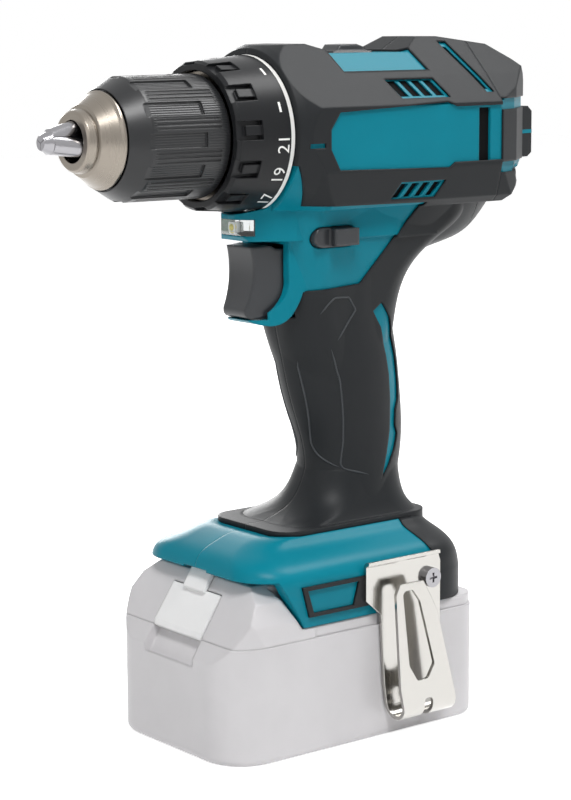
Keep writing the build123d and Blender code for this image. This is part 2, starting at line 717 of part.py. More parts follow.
# Rubber bumper across the back of the rear cover
with BuildPart() as rear_bumper:
    with BuildSketch(Plane.XZ):
        with BuildLine():
            Polyline((SEAM_X + RUN, 203.6), (SEAM_X + RUN, 222.6), (BUMPER_X - 4, 222.6), (BUMPER_X, 219.5),
                     (BUMPER_X, 206), (BUMPER_X - 4, 203.6), close=True)
        make_face()
    extrude(amount=BODY_HALF, both=True)
    with BuildSketch(Plane.XY.offset(AXIS_Z - 20)):
        with BuildLine():
            Polyline((SEAM_X, -31.4), (84, -27.3), (95.5, -18.4), (97.5, -14.4), (BUMPER_X - 1.5, -13),
                     (BUMPER_X, -11.5), (BUMPER_X, 11.5), (BUMPER_X - 1.5, 13), (97.5, 14.4), (95.5, 18.4),
                     (84, 27.3), (SEAM_X, 31.4), close=True)
        make_face()
    extrude(amount=40, mode=Mode.INTERSECT)
    add(core_shape.part, mode=Mode.SUBTRACT)
write(rear_bumper.part, "rear_bumper")

with BuildPart() as lamp_lens:
    add(nose(SKIN))
    add(lens_block, mode=Mode.INTERSECT)
write(lamp_lens.part, "lamp_lens")

with BuildPart() as lamp_board:
    add(upright_box(LENS_BACK_X + 0.6, LENS_BACK_X + 2, 8, LENS_Z, LENS_Z + LENS_HEIGHT))
    with BuildSketch(across(LENS_BACK_X + 0.1)):
        with Locations((0, LENS_Z + LENS_HEIGHT / 2 - AXIS_Z)):
            Circle(2)
    extrude(amount=0.5)
write(lamp_board.part, "lamp_board")

with BuildPart() as housing_screws:
    for screw_x, screw_z in SCREWS:
        add(along_y(screw_x, screw_z, SCREW_R, -10, SCREW_HEAD_Y))
        add(along_y(screw_x, screw_z, SCREW_HEAD_R, SCREW_HEAD_Y, SCREW_HEAD_Y + SCREW_HEAD))
    for side in (-1, 1):
        with BuildSketch(across(COVER_SCREW_X)):
            with Locations((side * COVER_SCREW_Y, COVER_SCREW_DROP)):
                Circle(SCREW_HEAD_R)
        extrude(amount=SCREW_HEAD)
        with BuildSketch(across(COVER_SCREW_X - COVER_SCREW_LENGTH)):
            with Locations((side * COVER_SCREW_Y, COVER_SCREW_DROP)):
                Circle(SCREW_R)
        extrude(amount=COVER_SCREW_LENGTH)
write(housing_screws.part, "housing_screws")

# Keyless chuck


def jaw_plane(k):
    """Plane at the tip of jaw k, square to the line it slides along."""
    turn = 2 * pi * k / 3 + pi / 2
    lean = radians(JAW_ANGLE)
    line = (cos(lean), sin(lean) * cos(turn), sin(lean) * sin(turn))
    tip = (JAW_TIP_X, JAW_OFFSET * cos(turn), AXIS_Z + JAW_OFFSET * sin(turn))
    return Plane(origin=tip, x_dir=(0, -sin(turn), cos(turn)), z_dir=line)


with BuildPart() as jaw_bores:
    for k in range(3):
        with BuildSketch(jaw_plane(k).offset(-5)):
            Circle(JAW_R + RUN)
        extrude(amount=JAW_LENGTH + 30 + 5)

with BuildPart() as chuck_body:
    add(turned([
        (NOSE_X + 4, 0), (NOSE_X + 4, NOSE_R - 0.4), (NUT_X - 1, NOSE_R - 0.4), (NUT_X - 1, CHUCK_NECK_R),
        (NUT_X + NUT_LENGTH + 1, CHUCK_NECK_R), (NUT_X + NUT_LENGTH + 1, CHUCK_R), (CHUCK_REAR_X, CHUCK_R),
        (CHUCK_REAR_X, 0),
    ]))
    add(jaw_bores.part, mode=Mode.SUBTRACT)
    add(turned([(NOSE_X, 0), (NOSE_X, NOSE_HOLE_R), (SPINDLE_TIP_X - 4, NOSE_HOLE_R), (SPINDLE_TIP_X - 4, 0)]),
        mode=Mode.SUBTRACT)
    add(turned([
        (SPINDLE_TIP_X - 5, 0), (SPINDLE_TIP_X - 5, SCREW_SHANK_R + SEAT),
        (SPINDLE_TIP_X - 0.2, SCREW_SHANK_R + SEAT), (SPINDLE_TIP_X - 0.2, SPINDLE_TIP_R + SEAT),
        (CHUCK_REAR_X, SPINDLE_TIP_R + SEAT), (CHUCK_REAR_X, 0),
    ]), mode=Mode.SUBTRACT)
write(chuck_body.part, "chuck_body")

with BuildPart() as chuck_nose:
    add(turned([
        (NOSE_X, NOSE_HOLE_R), (NOSE_X, NOSE_R - 0.7), (NOSE_X + 0.7, NOSE_R), (NOSE_X + 3, NOSE_R + 0.6),
        (NOSE_X + 3.5, NOSE_R + 0.2), (NOSE_X + 4, NOSE_R + 1.8), (SLEEVE_FRONT_X - 2, NOSE_RIM_R - 0.8),
        (SLEEVE_FRONT_X - 1.2, NOSE_RIM_R), (SLEEVE_FRONT_X - RUN, NOSE_RIM_R),
        (SLEEVE_FRONT_X - RUN, NOSE_R - 0.3),
        (NOSE_X + 4, NOSE_R - 0.3), (NOSE_X + 4, NOSE_HOLE_R),
    ]))
    add(jaw_bores.part, mode=Mode.SUBTRACT)
write(chuck_nose.part, "chuck_nose")

jaw_limit = turned([
    (JAW_TIP_X, 0), (JAW_TIP_X, 2.5), (JAW_TIP_X + 3, 3.9), (JAW_TIP_X + 6, 30), (JAW_TIP_X + JAW_LENGTH, 30),
    (JAW_TIP_X + JAW_LENGTH, 0),
])
for k in range(3):
    turn = 2 * pi * k / 3 + pi / 2
    with BuildPart() as jaw:
        with BuildSketch(jaw_plane(k).offset(-5)):
            Circle(JAW_R)
        extrude(amount=JAW_LENGTH + 15)
        with BuildSketch(across(JAW_TIP_X)):
            with BuildLine():
                apex = (JAW_GAP * cos(turn), JAW_GAP * sin(turn))
                arms = [(apex[0] + 40 * cos(turn + a), apex[1] + 40 * sin(turn + a)) for a in (-pi / 3, pi / 3)]
                Polyline(apex, *arms, close=True)
            make_face()
        extrude(amount=JAW_LENGTH, mode=Mode.INTERSECT)
        add(jaw_limit, mode=Mode.INTERSECT)
    write(jaw.part, f"chuck_jaw_{k + 1}")

with BuildPart() as chuck_sleeve:
    add(turned([
        (SLEEVE_FRONT_X, NUT_R + SEAT), (SLEEVE_FRONT_X, NOSE_RIM_R + 0.6),
        (SLEEVE_FRONT_X + 7, SLEEVE_R - 0.2),
        (SLEEVE_REAR_X - 1, SLEEVE_R), (SLEEVE_REAR_X, SLEEVE_R - 0.9), (SLEEVE_REAR_X, CHUCK_R + RUN),
        (SLEEVE_REAR_X - 4, CHUCK_R + RUN), (SLEEVE_REAR_X - 4, SLEEVE_BORE_R),
        (NUT_X + NUT_LENGTH, SLEEVE_BORE_R),
        (NUT_X + NUT_LENGTH, NUT_R + SEAT),
    ]))
    with BuildSketch(across(SLEEVE_FRONT_X - 1)):
        with PolarLocations(SLEEVE_R + 0.6, FLUTES):
            Rectangle(2 * FLUTE_DEPTH + 1.2, FLUTE_WIDTH)
    extrude(amount=FLUTE_LENGTH + 1, mode=Mode.SUBTRACT)
    for shift in (-RIB_PITCH, 0, RIB_PITCH):
        with BuildSketch(across(SLEEVE_FRONT_X + 9)):
            with PolarLocations(SLEEVE_R, FLUTES, start_angle=180 / FLUTES + shift):
                Rectangle(2 * RIB_DEPTH, RIB_WIDTH)
        extrude(amount=SLEEVE_REAR_X - SLEEVE_FRONT_X - 13, mode=Mode.SUBTRACT)
write(chuck_sleeve.part, "chuck_sleeve")

write(tube(NUT_X, NUT_LENGTH, NUT_R, CHUCK_NECK_R + RUN), "chuck_nut")

with BuildPart() as chuck_screw:
    add(turned([
        (SPINDLE_TIP_X - 7, 0), (SPINDLE_TIP_X - 7, 4), (SPINDLE_TIP_X - 4, 4),
        (SPINDLE_TIP_X - 4, SCREW_SHANK_R),
        (SPINDLE_TIP_X + 10, SCREW_SHANK_R), (SPINDLE_TIP_X + 10, 0),
    ]))
    with BuildSketch(across(SPINDLE_TIP_X - 7)):
        RegularPolygon(2, 6)
    extrude(amount=1.6, mode=Mode.SUBTRACT)
write(chuck_screw.part, "chuck_screw")

# Spindle with its bearing and bush
with BuildPart() as spindle:
    add(turned([
        (SPINDLE_TIP_X, SCREW_SHANK_R + SEAT), (SPINDLE_TIP_X, SPINDLE_TIP_R), (CHUCK_REAR_X, SPINDLE_TIP_R),
        (CHUCK_REAR_X, SPINDLE_R + 1.5), (BEARING_X - 1, SPINDLE_R + 1.5), (BEARING_X - 1, SPINDLE_R),
        (BUSH_X + BUSH_LENGTH, SPINDLE_R), (BUSH_X + BUSH_LENGTH, SPINDLE_END_R),
        (CARRIER_2_X + PLATE, SPINDLE_END_R),
        (CARRIER_2_X + PLATE, 0), (SPINDLE_TIP_X + 11, 0), (SPINDLE_TIP_X + 11, SCREW_SHANK_R + SEAT),
    ]))
write(spindle.part, "spindle")

with BuildPart() as spindle_bearings:
    add(tube(BEARING_X, BEARING_LENGTH, BEARING_R, SPINDLE_R + SHAFT_RUN))
    add(tube(BUSH_X, BUSH_LENGTH, BUSH_R, SPINDLE_R + SHAFT_RUN))
write(spindle_bearings.part, "spindle_bearings")

# Gear case, torque ring and clutch
with BuildPart() as gear_case:
    add(turned([
        (CASE_NOSE_X, BEARING_R + SEAT), (CASE_NOSE_X, CASE_NOSE_R), (PILOT_X, CASE_NOSE_R),
        (PILOT_X, RING_BORE_R - RUN), (BODY_FRONT_X + 0.6, RING_BORE_R - RUN), (BODY_FRONT_X + 0.6, CASE_R),
        (CASE_REAR_X, CASE_R), (CASE_REAR_X, GEAR_RING_R + SEAT), (CASE_FLOOR_X, GEAR_RING_R + SEAT),
        (CASE_FLOOR_X, BUSH_R + SEAT), (BEARING_X + BEARING_LENGTH, BUSH_R + SEAT),
        (BEARING_X + BEARING_LENGTH, BEARING_R + SEAT),
    ]))
    add(upright_box(STAGE_1_X - SHIFT - 1, CASE_REAR_X + 1, FORK_HALF + RUN, AXIS_Z + 15, AXIS_Z + 30),
        mode=Mode.SUBTRACT)
write(gear_case.part, "gear_case")
write(tube(CASE_NOSE_X - 1.4, 1.4, RING_BORE_R - RUN, BEARING_R - 1), "ring_retainer")

with BuildPart() as torque_ring:
    add(turned([
        (RING_FRONT_X, RING_BORE_R), (RING_FRONT_X, RING_R - 2.6), (RING_FRONT_X + 1.2, RING_R - 1.6),
        (RING_FRONT_X + 12, RING_R - 0.8), (BODY_FRONT_X - 1, RING_R), (BODY_FRONT_X - RUN, RING_R),
        (BODY_FRONT_X - RUN, RING_BORE_R),
    ]))
    with BuildSketch(across(RING_FRONT_X - 1)):
        with PolarLocations(RING_R, RING_POCKETS, start_angle=POCKET_START):
            Rectangle(2 * POCKET_DEPTH, POCKET_WIDTH)
    extrude(amount=POCKET_LENGTH + 1, mode=Mode.SUBTRACT)
    with BuildSketch(across(RING_FRONT_X + BLOCK_IN_POCKET)):
        with PolarLocations(BLOCK_IN_POCKET_R - 1, RING_POCKETS, start_angle=POCKET_START):
            Rectangle(2, POCKET_WIDTH / 2)
    extrude(amount=POCKET_LENGTH - BLOCK_IN_POCKET + SEAT)
write(torque_ring.part, "torque_ring")

write(tube(CLUTCH_NUT_X, CLUTCH_NUT_LENGTH, RING_BORE_R - RUN, CASE_NOSE_R + RUN), "clutch_nut")


def coil(x, z, length, radius, wire, turns):
    """Compression spring of round wire along X."""
    with BuildPart() as made:
        with BuildLine():
            rise = length - 2 * wire
            path = Helix(rise / turns, rise, radius, center=(x + wire, 0, z), direction=(1, 0, 0))
        with BuildSketch(Plane(origin=path @ 0, z_dir=path % 0)):
            Circle(wire)
        sweep()
    return made.part


SPRING_X = CLUTCH_NUT_X + CLUTCH_NUT_LENGTH + SEAT
write(coil(SPRING_X, AXIS_Z, PILOT_X - SEAT - SPRING_X, CLUTCH_COIL_R, CLUTCH_WIRE_R, 2), "clutch_spring")

# Planetary gears


def gear_face(teeth, tip, root, thickness, phase):
    """Spur gear outline with involute flanks, one tooth centred on the angle phase."""
    pitch_r = MODULE * teeth / 2
    base_r = pitch_r * cos(PRESSURE)

    def half_angle(radius):
        angle = acos(base_r / max(radius, base_r))
        return thickness / (2 * pitch_r) + (tan(PRESSURE) - PRESSURE) - (tan(angle) - angle)

    def at(radius, angle):
        return (radius * cos(angle), radius * sin(angle))

    flank = (root, (root + tip) / 2, tip)
    with BuildSketch() as face:
        with BuildLine():
            for k in range(teeth):
                here = phase + 2 * pi * k / teeth
                onward = here + 2 * pi / teeth
                rise = [at(r, here - half_angle(r)) for r in flank]
                fall = [at(r, here + half_angle(r)) for r in reversed(flank)]
                ThreePointArc(*rise)
                Line(rise[2], fall[0])
                ThreePointArc(*fall)
                Line(fall[2], at(root, onward - half_angle(root)))
        make_face()
    return face.sketch


def outside_gear(teeth, phase=0):
    pitch_r = MODULE * teeth / 2
    return gear_face(teeth, pitch_r + ADDENDUM, pitch_r - DEDENDUM, pi * MODULE / 2 - BACKLASH, phase)


def ring_gear(x, length):
    pitch_r = MODULE * RING_TEETH / 2
    with BuildPart() as made:
        with BuildSketch(across(x)):
            Circle(GEAR_RING_R)
            add(gear_face(RING_TEETH, pitch_r + DEDENDUM, pitch_r - ADDENDUM, pi * MODULE / 2 + BACKLASH, 0),
                mode=Mode.SUBTRACT)
        extrude(amount=length)
    return made.part


def planet(k, sun_teeth, x):
    """Planet k of a stage, turned so that its teeth stand in the gaps of the sun and the ring."""
    teeth = (RING_TEETH - sun_teeth) // 2
    place = 2 * pi * k / PLANETS
    distance = MODULE * (sun_teeth + teeth) / 2
    phase = place + pi - (pi - place * sun_teeth) / teeth
    centre = (x, distance * cos(place), AXIS_Z + distance * sin(place))
    with BuildPart() as made:
        with BuildSketch(Plane(origin=centre, x_dir=(0, 1, 0), z_dir=(1, 0, 0))):
            add(outside_gear(teeth, phase))
            Circle(PIN_R + SHAFT_RUN, mode=Mode.SUBTRACT)
        extrude(amount=FACE)
    return made.part


def carrier_pins(sun_teeth, x, length):
    teeth = (RING_TEETH - sun_teeth) // 2
    with BuildPart() as made:
        with BuildSketch(across(x)):
            with PolarLocations(MODULE * (sun_teeth + teeth) / 2, PLANETS):
                Circle(PIN_R)
        extrude(amount=length)
    return made.part


with BuildPart() as output_carrier:
    add(tube(CARRIER_2_X, PLATE, CARRIER_R, SPINDLE_END_R + SEAT))
    add(carrier_pins(SUN_TEETH_2, CARRIER_2_X + PLATE, FACE + 0.5))
write(output_carrier.part, "output_carrier")

with BuildPart() as input_carrier:
    with BuildSketch(across(CARRIER_1_X)):
        Circle(CARRIER_R)
    extrude(amount=PLATE)
    with BuildSketch(across(STAGE_2_X + 0.3)):
        add(outside_gear(SUN_TEETH_2))
    extrude(amount=CARRIER_1_X - STAGE_2_X - 0.3)
    add(carrier_pins(SUN_TEETH_1, CARRIER_1_X + PLATE, FACE + 0.5))
write(input_carrier.part, "input_carrier")

for k in range(PLANETS):
    write(planet(k, SUN_TEETH_2, STAGE_2_X), f"output_planet_{k + 1}")
    write(planet(k, SUN_TEETH_1, STAGE_1_X), f"input_planet_{k + 1}")

write(ring_gear(CASE_FLOOR_X + 0.7, CARRIER_1_X - 0.5 - CASE_FLOOR_X - 0.7), "clutch_ring_gear")

with BuildPart() as shift_ring:
    add(upright_box(FORK_X, FORK_X + FORK, FORK_HALF, AXIS_Z + 20, SLIDE_Z + SEAT))
    add(turned([(FORK_X - 1, 0), (FORK_X - 1, GEAR_RING_R - 0.5), (FORK_X + FORK + 1, GEAR_RING_R - 0.5),
                (FORK_X + FORK + 1, 0)]), mode=Mode.SUBTRACT)
    add(ring_gear(SHIFT_RING_X, SHIFT_RING_LENGTH))
write(shift_ring.part, "shift_ring")

KNOB_Z = SLIDE_Z + SLIDE + KNOB_PLATE
with BuildPart() as speed_lever:
    add(upright_box(SLIDE_X, SLIDE_X + SLIDE_LENGTH, SLIDE_HALF, SLIDE_Z + SEAT, SLIDE_Z + SLIDE))
    add(upright_box(KNOB_PLATE_X, KNOB_PLATE_X + KNOB_PLATE_LENGTH, KNOB_PLATE_HALF, SLIDE_Z + SLIDE, KNOB_Z))
    add(side_prism([
        (KNOB_X, KNOB_Z), (KNOB_X + 1.8, KNOB_Z + KNOB - 0.2), (KNOB_X + 9, KNOB_Z + KNOB),
        (KNOB_X + KNOB_LENGTH - 1.2, KNOB_Z + KNOB - 1), (KNOB_X + KNOB_LENGTH, KNOB_Z),
    ], -KNOB_HALF, KNOB_HALF))
write(speed_lever.part, "speed_lever")

# Motor
with BuildPart() as motor_plate:
    add(turned([
        (CASE_REAR_X, MOTOR_BEARING_R - 2), (CASE_REAR_X, CASE_R), (CASE_REAR_X + 3, CASE_R),
        (CASE_REAR_X + 3, MOTOR_BEARING_R + 3), (FRONT_BEARING_X + MOTOR_BEARING_LENGTH, MOTOR_BEARING_R + 3),
        (FRONT_BEARING_X + MOTOR_BEARING_LENGTH, MOTOR_BEARING_R + SEAT),
        (FRONT_BEARING_X, MOTOR_BEARING_R + SEAT),
        (FRONT_BEARING_X, MOTOR_BEARING_R - 2),
    ]))
write(motor_plate.part, "motor_plate")

with BuildPart() as motor_bearings:
    add(tube(FRONT_BEARING_X, MOTOR_BEARING_LENGTH, MOTOR_BEARING_R, SHAFT_R + SHAFT_RUN))
    add(tube(REAR_BEARING_X + 0.3, MOTOR_BEARING_LENGTH, REAR_BEARING_R, SHAFT_R + SHAFT_RUN))
write(motor_bearings.part, "motor_bearings")

write(tube(YOKE_X, YOKE_LENGTH, YOKE_R, YOKE_R - YOKE_WALL), "motor_yoke")

with BuildPart() as motor_magnets:
    add(tube(YOKE_X + 4, YOKE_LENGTH - 8, YOKE_R - YOKE_WALL - SEAT, YOKE_R - YOKE_WALL - MAGNET))
    with BuildSketch(across(YOKE_X)):
        with PolarLocations(YOKE_R / 2, 4):
            Rectangle(YOKE_R, MAGNET_GAP)
    extrude(amount=YOKE_LENGTH, mode=Mode.SUBTRACT)
write(motor_magnets.part, "motor_magnets")

CORE_X = YOKE_X + (YOKE_LENGTH - CORE_LENGTH) / 2
with BuildPart() as armature_core:
    add(tube(CORE_X, CORE_LENGTH, CORE_R, SHAFT_R + SEAT / 2))
    with BuildSketch(across(CORE_X)):
        with PolarLocations(CORE_R - 2.6, 10):
            Rectangle(7.2, 2.4)
    extrude(amount=CORE_LENGTH, mode=Mode.SUBTRACT)
write(armature_core.part, "armature_core")

with BuildPart() as armature_shaft:
    add(turned([
        (STAGE_1_X + 0.2, 0), (STAGE_1_X + 0.2, SHAFT_R), (REAR_BEARING_X + MOTOR_BEARING_LENGTH, SHAFT_R),
        (REAR_BEARING_X + MOTOR_BEARING_LENGTH, 0),
    ]))
    with BuildSketch(across(STAGE_1_X + 0.2)):
        add(outside_gear(SUN_TEETH_1))
    extrude(amount=FACE)
write(armature_shaft.part, "armature_shaft")

with BuildPart() as commutator:
    add(tube(COMMUTATOR_X, COMMUTATOR_LENGTH, COMMUTATOR_R, SHAFT_R + SEAT / 2))
    with BuildSketch(across(COMMUTATOR_X - 1)):
        with PolarLocations(COMMUTATOR_R, 10):
            Rectangle(2, 0.5)
    extrude(amount=COMMUTATOR_LENGTH + 2, mode=Mode.SUBTRACT)
write(commutator.part, "commutator")

with BuildPart() as cooling_fan:
    add(tube(FAN_X, FAN_LENGTH, 5, SHAFT_R + SEAT / 2))
    add(tube(FAN_X + FAN_LENGTH - 1.2, 1.2, FAN_R, 4))
    with BuildSketch(across(FAN_X)):
        with PolarLocations((FAN_R + 4) / 2, FAN_BLADES):
            Rectangle(FAN_R - 5, 1, rotation=18)
    extrude(amount=FAN_LENGTH)
write(cooling_fan.part, "cooling_fan")

with BuildPart() as brush_holder:
    add(tube(COMMUTATOR_X + 1, COMMUTATOR_LENGTH - 2, BRUSH_HOLDER_R, COMMUTATOR_R + 4))
    add(upright_box(COMMUTATOR_X + 1.8, COMMUTATOR_X + COMMUTATOR_LENGTH - 1.8, BRUSH_HALF + SEAT,
                    AXIS_Z - YOKE_R, AXIS_Z + YOKE_R), mode=Mode.SUBTRACT)
write(brush_holder.part, "brush_holder")

with BuildPart() as carbon_brushes:
    for side in (-1, 1):
        low, high = sorted((AXIS_Z + side * (COMMUTATOR_R + 0.1), AXIS_Z + side * (BRUSH_HOLDER_R - 1.3)))
        add(upright_box(COMMUTATOR_X + 2, COMMUTATOR_X + COMMUTATOR_LENGTH - 2, BRUSH_HALF, low, high))
    add(turned([(COMMUTATOR_X, 0), (COMMUTATOR_X, COMMUTATOR_R + SHAFT_RUN), (SEAM_X + 20, COMMUTATOR_R + SHAFT_RUN),
                (SEAM_X + 20, 0)]), mode=Mode.SUBTRACT)
write(carbon_brushes.part, "carbon_brushes")

# Trigger, switch and direction lever
SPRING_Z = 166.0
TRIGGER_CHIN = [(TRIGGER_BACK_X, 158), (-14.5, 154.2), (-19, 152), (-23.4, TRIGGER_BOTTOM_Z)]
TRIGGER_TOE = (-26.4, 155)
TRIGGER_BROW = (-24.3, TRIGGER_TOP_Z - 0.3)
TRIGGER_PLAN = mirrored([(0, -28), (6, -28), (7, -24.1), (TRIGGER_HALF, TRIGGER_BACK_X), (0, TRIGGER_BACK_X)])
with BuildPart() as trigger:
    with BuildSketch(Plane.XZ):
        with BuildLine():
            Polyline(TRIGGER_BROW, (-17, TRIGGER_TOP_Z), (-14.6, SWITCH_TOP_Z - SEAT),
                     (TRIGGER_BACK_X, SWITCH_TOP_Z - SEAT), TRIGGER_CHIN[0])
            Spline(*TRIGGER_CHIN)
            ThreePointArc(TRIGGER_CHIN[-1], (-26, 152.7), TRIGGER_TOE)
            ThreePointArc(TRIGGER_TOE, (-23.3, 165), TRIGGER_BROW)
        make_face()
    extrude(amount=TRIGGER_HALF, both=True)
    with BuildSketch(Plane.XY.offset(TRIGGER_BOTTOM_Z - 10)):
        with BuildLine():
            Polyline(*[(x, y) for y, x in TRIGGER_PLAN], close=True)
        make_face()
    extrude(amount=REACH, mode=Mode.INTERSECT)
    add(upright_box(TRIGGER_BACK_X, TRIGGER_BACK_X + TRIGGER_STEM, SWITCH_HALF - 2, 160, SWITCH_TOP_Z - 4))
write(trigger.part, "trigger")

TRIGGER_SPRING_X = TRIGGER_BACK_X + TRIGGER_STEM + SEAT
write(coil(TRIGGER_SPRING_X, SPRING_Z, SWITCH_X - SEAT - TRIGGER_SPRING_X, TRIGGER_COIL_R, TRIGGER_WIRE_R,
           TRIGGER_TURNS), "trigger_spring")

write(upright_box(SWITCH_X, SWITCH_X + SWITCH_LENGTH, SWITCH_HALF, TRIGGER_BOTTOM_Z, SWITCH_TOP_Z), "switch_body")

with BuildPart() as direction_lever:
    with BuildSketch(Plane.XZ):
        with Locations((LEVER_X, LEVER_Z)):
            SlotOverall(LEVER_LENGTH, LEVER_HEIGHT)
    extrude(amount=LEVER_HALF, both=True)
    add(upright_box(LEVER_BLOCK_X, LEVER_X + LEVER_LENGTH / 2 - 1.5, LEVER_BLOCK_HALF,
                    LEVER_Z - LEVER_BLOCK_HEIGHT / 2, LEVER_Z + LEVER_BLOCK_HEIGHT / 2))
write(direction_lever.part, "direction_lever")

# Foot: terminals, badge frame and belt hook
BLOCK_Z = 55.2
with BuildPart() as terminal_block:
    add(upright_box(BLOCK_X, BLOCK_X + BLOCK_LENGTH, BLOCK_HALF, BLOCK_Z, DECK_Z + WALL + BLOCK_FLANGE_HEIGHT))
    add(upright_box(BLOCK_X - BLOCK_FLANGE, BLOCK_X + BLOCK_LENGTH + BLOCK_FLANGE, BLOCK_HALF + BLOCK_FLANGE,
                    DECK_Z + WALL, DECK_Z + WALL + BLOCK_FLANGE_HEIGHT))
    for side in (-1, 1):
        with BuildSketch(Plane.XY.offset(BLOCK_Z - BLADE)):
            with Locations((BLOCK_X + BLOCK_LENGTH / 2, side * BLADE_Y)):
                Rectangle(BLOCK_LENGTH - 8, 1)
        extrude(amount=BLADE)
write(terminal_block.part, "terminal_block")

FRAME_Y = -(FOOT_HALF - SKIN)
with BuildPart() as badge_frame:
    add(side_prism([(-26.5, 61), (35, 61), (35.2, 50), (-23.5, 50)], FRAME_Y - FRAME_PLATE, FRAME_Y))
    add(side_prism([(-24.2, 59.6), (-1, 59.6), (-3.5, 51.3), (-21.6, 51.3)], FRAME_Y - FRAME_PLATE, FRAME_Y),
        mode=Mode.SUBTRACT)
    add(along_y(INSERT_X, INSERT_Z, INSERT_R + SEAT, FRAME_Y - FRAME_PLATE, FRAME_Y), mode=Mode.SUBTRACT)
write(badge_frame.part, "badge_frame")

with BuildPart() as hook_inserts:
    add(along_y(INSERT_X, INSERT_Z, INSERT_R, FRAME_Y - FRAME_PLATE, FRAME_Y + INSERT_LENGTH))
    add(along_y(INSERT_X, INSERT_Z, INSERT_R, -FRAME_Y - INSERT_LENGTH, -FRAME_Y))
    add(along_y(INSERT_X, INSERT_Z, INSERT_BORE_R, -FOOT_HALF - 1, FOOT_HALF + 1), mode=Mode.SUBTRACT)
write(hook_inserts.part, "hook_inserts")

HOOK_Y = FRAME_Y - FRAME_PLATE - HOOK_STEEL / 2
LEG_Y = HOOK_Y - HOOK_LEG_GAP
NOTCH_Z = 15.0
BACK_PLATE = [
    (1, 70), (1, 52), (8, 46), (9.6, 20), (12.6, 0), (20.4, 0), (20.4, NOTCH_Z), (24.4, NOTCH_Z), (24.4, 0),
    (36, 0),
    (36, 62), (33, 70),
]
TONGUE = [
    (9.6, 54), (9.6, 20), (12.6, 0), (20.4, 0), (20.4, NOTCH_Z), (24.4, NOTCH_Z), (24.4, 0), (36, 0),
    (35.2, 14.5),
    (28.4, 46), (25.5, 52), (22.5, 57.6), (19, 59.4), (15, 59.4), (12, 58.2),
]
HOOK_SLOT = [(12.6, 55), (17.4, 55), (20.6, 50.5), (26, 27), (22.5, 22), (17.5, 22), (14, 28)]


def rounded_prism(outline, corner, low, high):
    """Block with the given (x, z) outline and rounded corners, between two values of y."""
    with BuildPart() as made:
        with BuildSketch(Plane.XZ.offset(-high)) as face:
            with BuildLine():
                Polyline(*outline, close=True)
            make_face()
            fillet(face.vertices(), corner)
        extrude(amount=high - low)
    return made.part


with BuildPart() as hook_outline:
    add(side_prism(BACK_PLATE, LEG_Y, 0))
    add(rounded_prism(TONGUE, 1.5, LEG_Y - 20, LEG_Y))
    add(rounded_prism(HOOK_SLOT, 1.8, LEG_Y - 20, LEG_Y), mode=Mode.SUBTRACT)

with BuildPart() as belt_hook:
    with BuildSketch(Plane.YZ):
        with BuildLine():
            ThreePointArc((HOOK_Y - 2.2, HOOK_TOP_Z), (HOOK_Y - 0.8, HOOK_TOP_Z - 0.2), (HOOK_Y, HOOK_TOP_Z - 1.6))
            Line((HOOK_Y, HOOK_TOP_Z - 1.6), (HOOK_Y, HOOK_BEND_Z))
            ThreePointArc((HOOK_Y, HOOK_BEND_Z), (HOOK_Y - HOOK_BEND_R, HOOK_BEND_Z - HOOK_BEND_R),
                          (HOOK_Y - 2 * HOOK_BEND_R, HOOK_BEND_Z))
            Line((HOOK_Y - 2 * HOOK_BEND_R, HOOK_BEND_Z), (HOOK_Y - 2 * HOOK_BEND_R + HOOK_LEAN, HOOK_LIP_Z))
        trace(line_width=HOOK_STEEL)
    extrude(amount=HOOK_WIDTH)
    add(hook_outline.part, mode=Mode.INTERSECT)
    add(along_y(INSERT_X, INSERT_Z, HOOK_SCREW_R + SEAT, HOOK_Y - 2, HOOK_Y + 2), mode=Mode.SUBTRACT)
write(belt_hook.part, "belt_hook")

HOOK_FACE_Y = HOOK_Y - HOOK_STEEL / 2
with BuildPart() as hook_screw:
    add(along_y(INSERT_X, INSERT_Z, HOOK_SCREW_R, HOOK_FACE_Y, FRAME_Y + INSERT_LENGTH - 1))
    add(along_y(INSERT_X, INSERT_Z, HOOK_HEAD_R, HOOK_FACE_Y - HOOK_HEAD, HOOK_FACE_Y))
    with BuildSketch(Plane.XZ.offset(HOOK_HEAD - HOOK_FACE_Y)):
        with Locations((INSERT_X, INSERT_Z)):
            Rectangle(HOOK_HEAD_R, HOOK_RECESS)
            Rectangle(HOOK_RECESS, HOOK_HEAD_R)
    extrude(amount=-HOOK_HEAD / 2, mode=Mode.SUBTRACT)
write(hook_screw.part, "hook_screw")

# Battery: case, cover, cells, board and release button
SLOPE_TOP = (-40.6, BATTERY_TOP_Z)
SLOPE_FOOT = (BATTERY_FRONT_X, 35.7)
SLOPE_LENGTH = sqrt((SLOPE_FOOT[0] - SLOPE_TOP[0]) ** 2 + (SLOPE_FOOT[1] - SLOPE_TOP[1]) ** 2)
SLOPE_CASE_X = SLOPE_TOP[0] + (SLOPE_FOOT[0] - SLOPE_TOP[0]) * (SLOPE_TOP[1] - CASE_TOP_Z) / (
    SLOPE_TOP[1] - SLOPE_FOOT[1])


def on_slope(along, out):
    """Point of the side view, measured down the front slope and out of it."""
    run = (SLOPE_FOOT[0] - SLOPE_TOP[0]) / SLOPE_LENGTH
    fall = (SLOPE_FOOT[1] - SLOPE_TOP[1]) / SLOPE_LENGTH
    return (SLOPE_TOP[0] + along * run + out * fall, SLOPE_TOP[1] + along * fall - out * run)


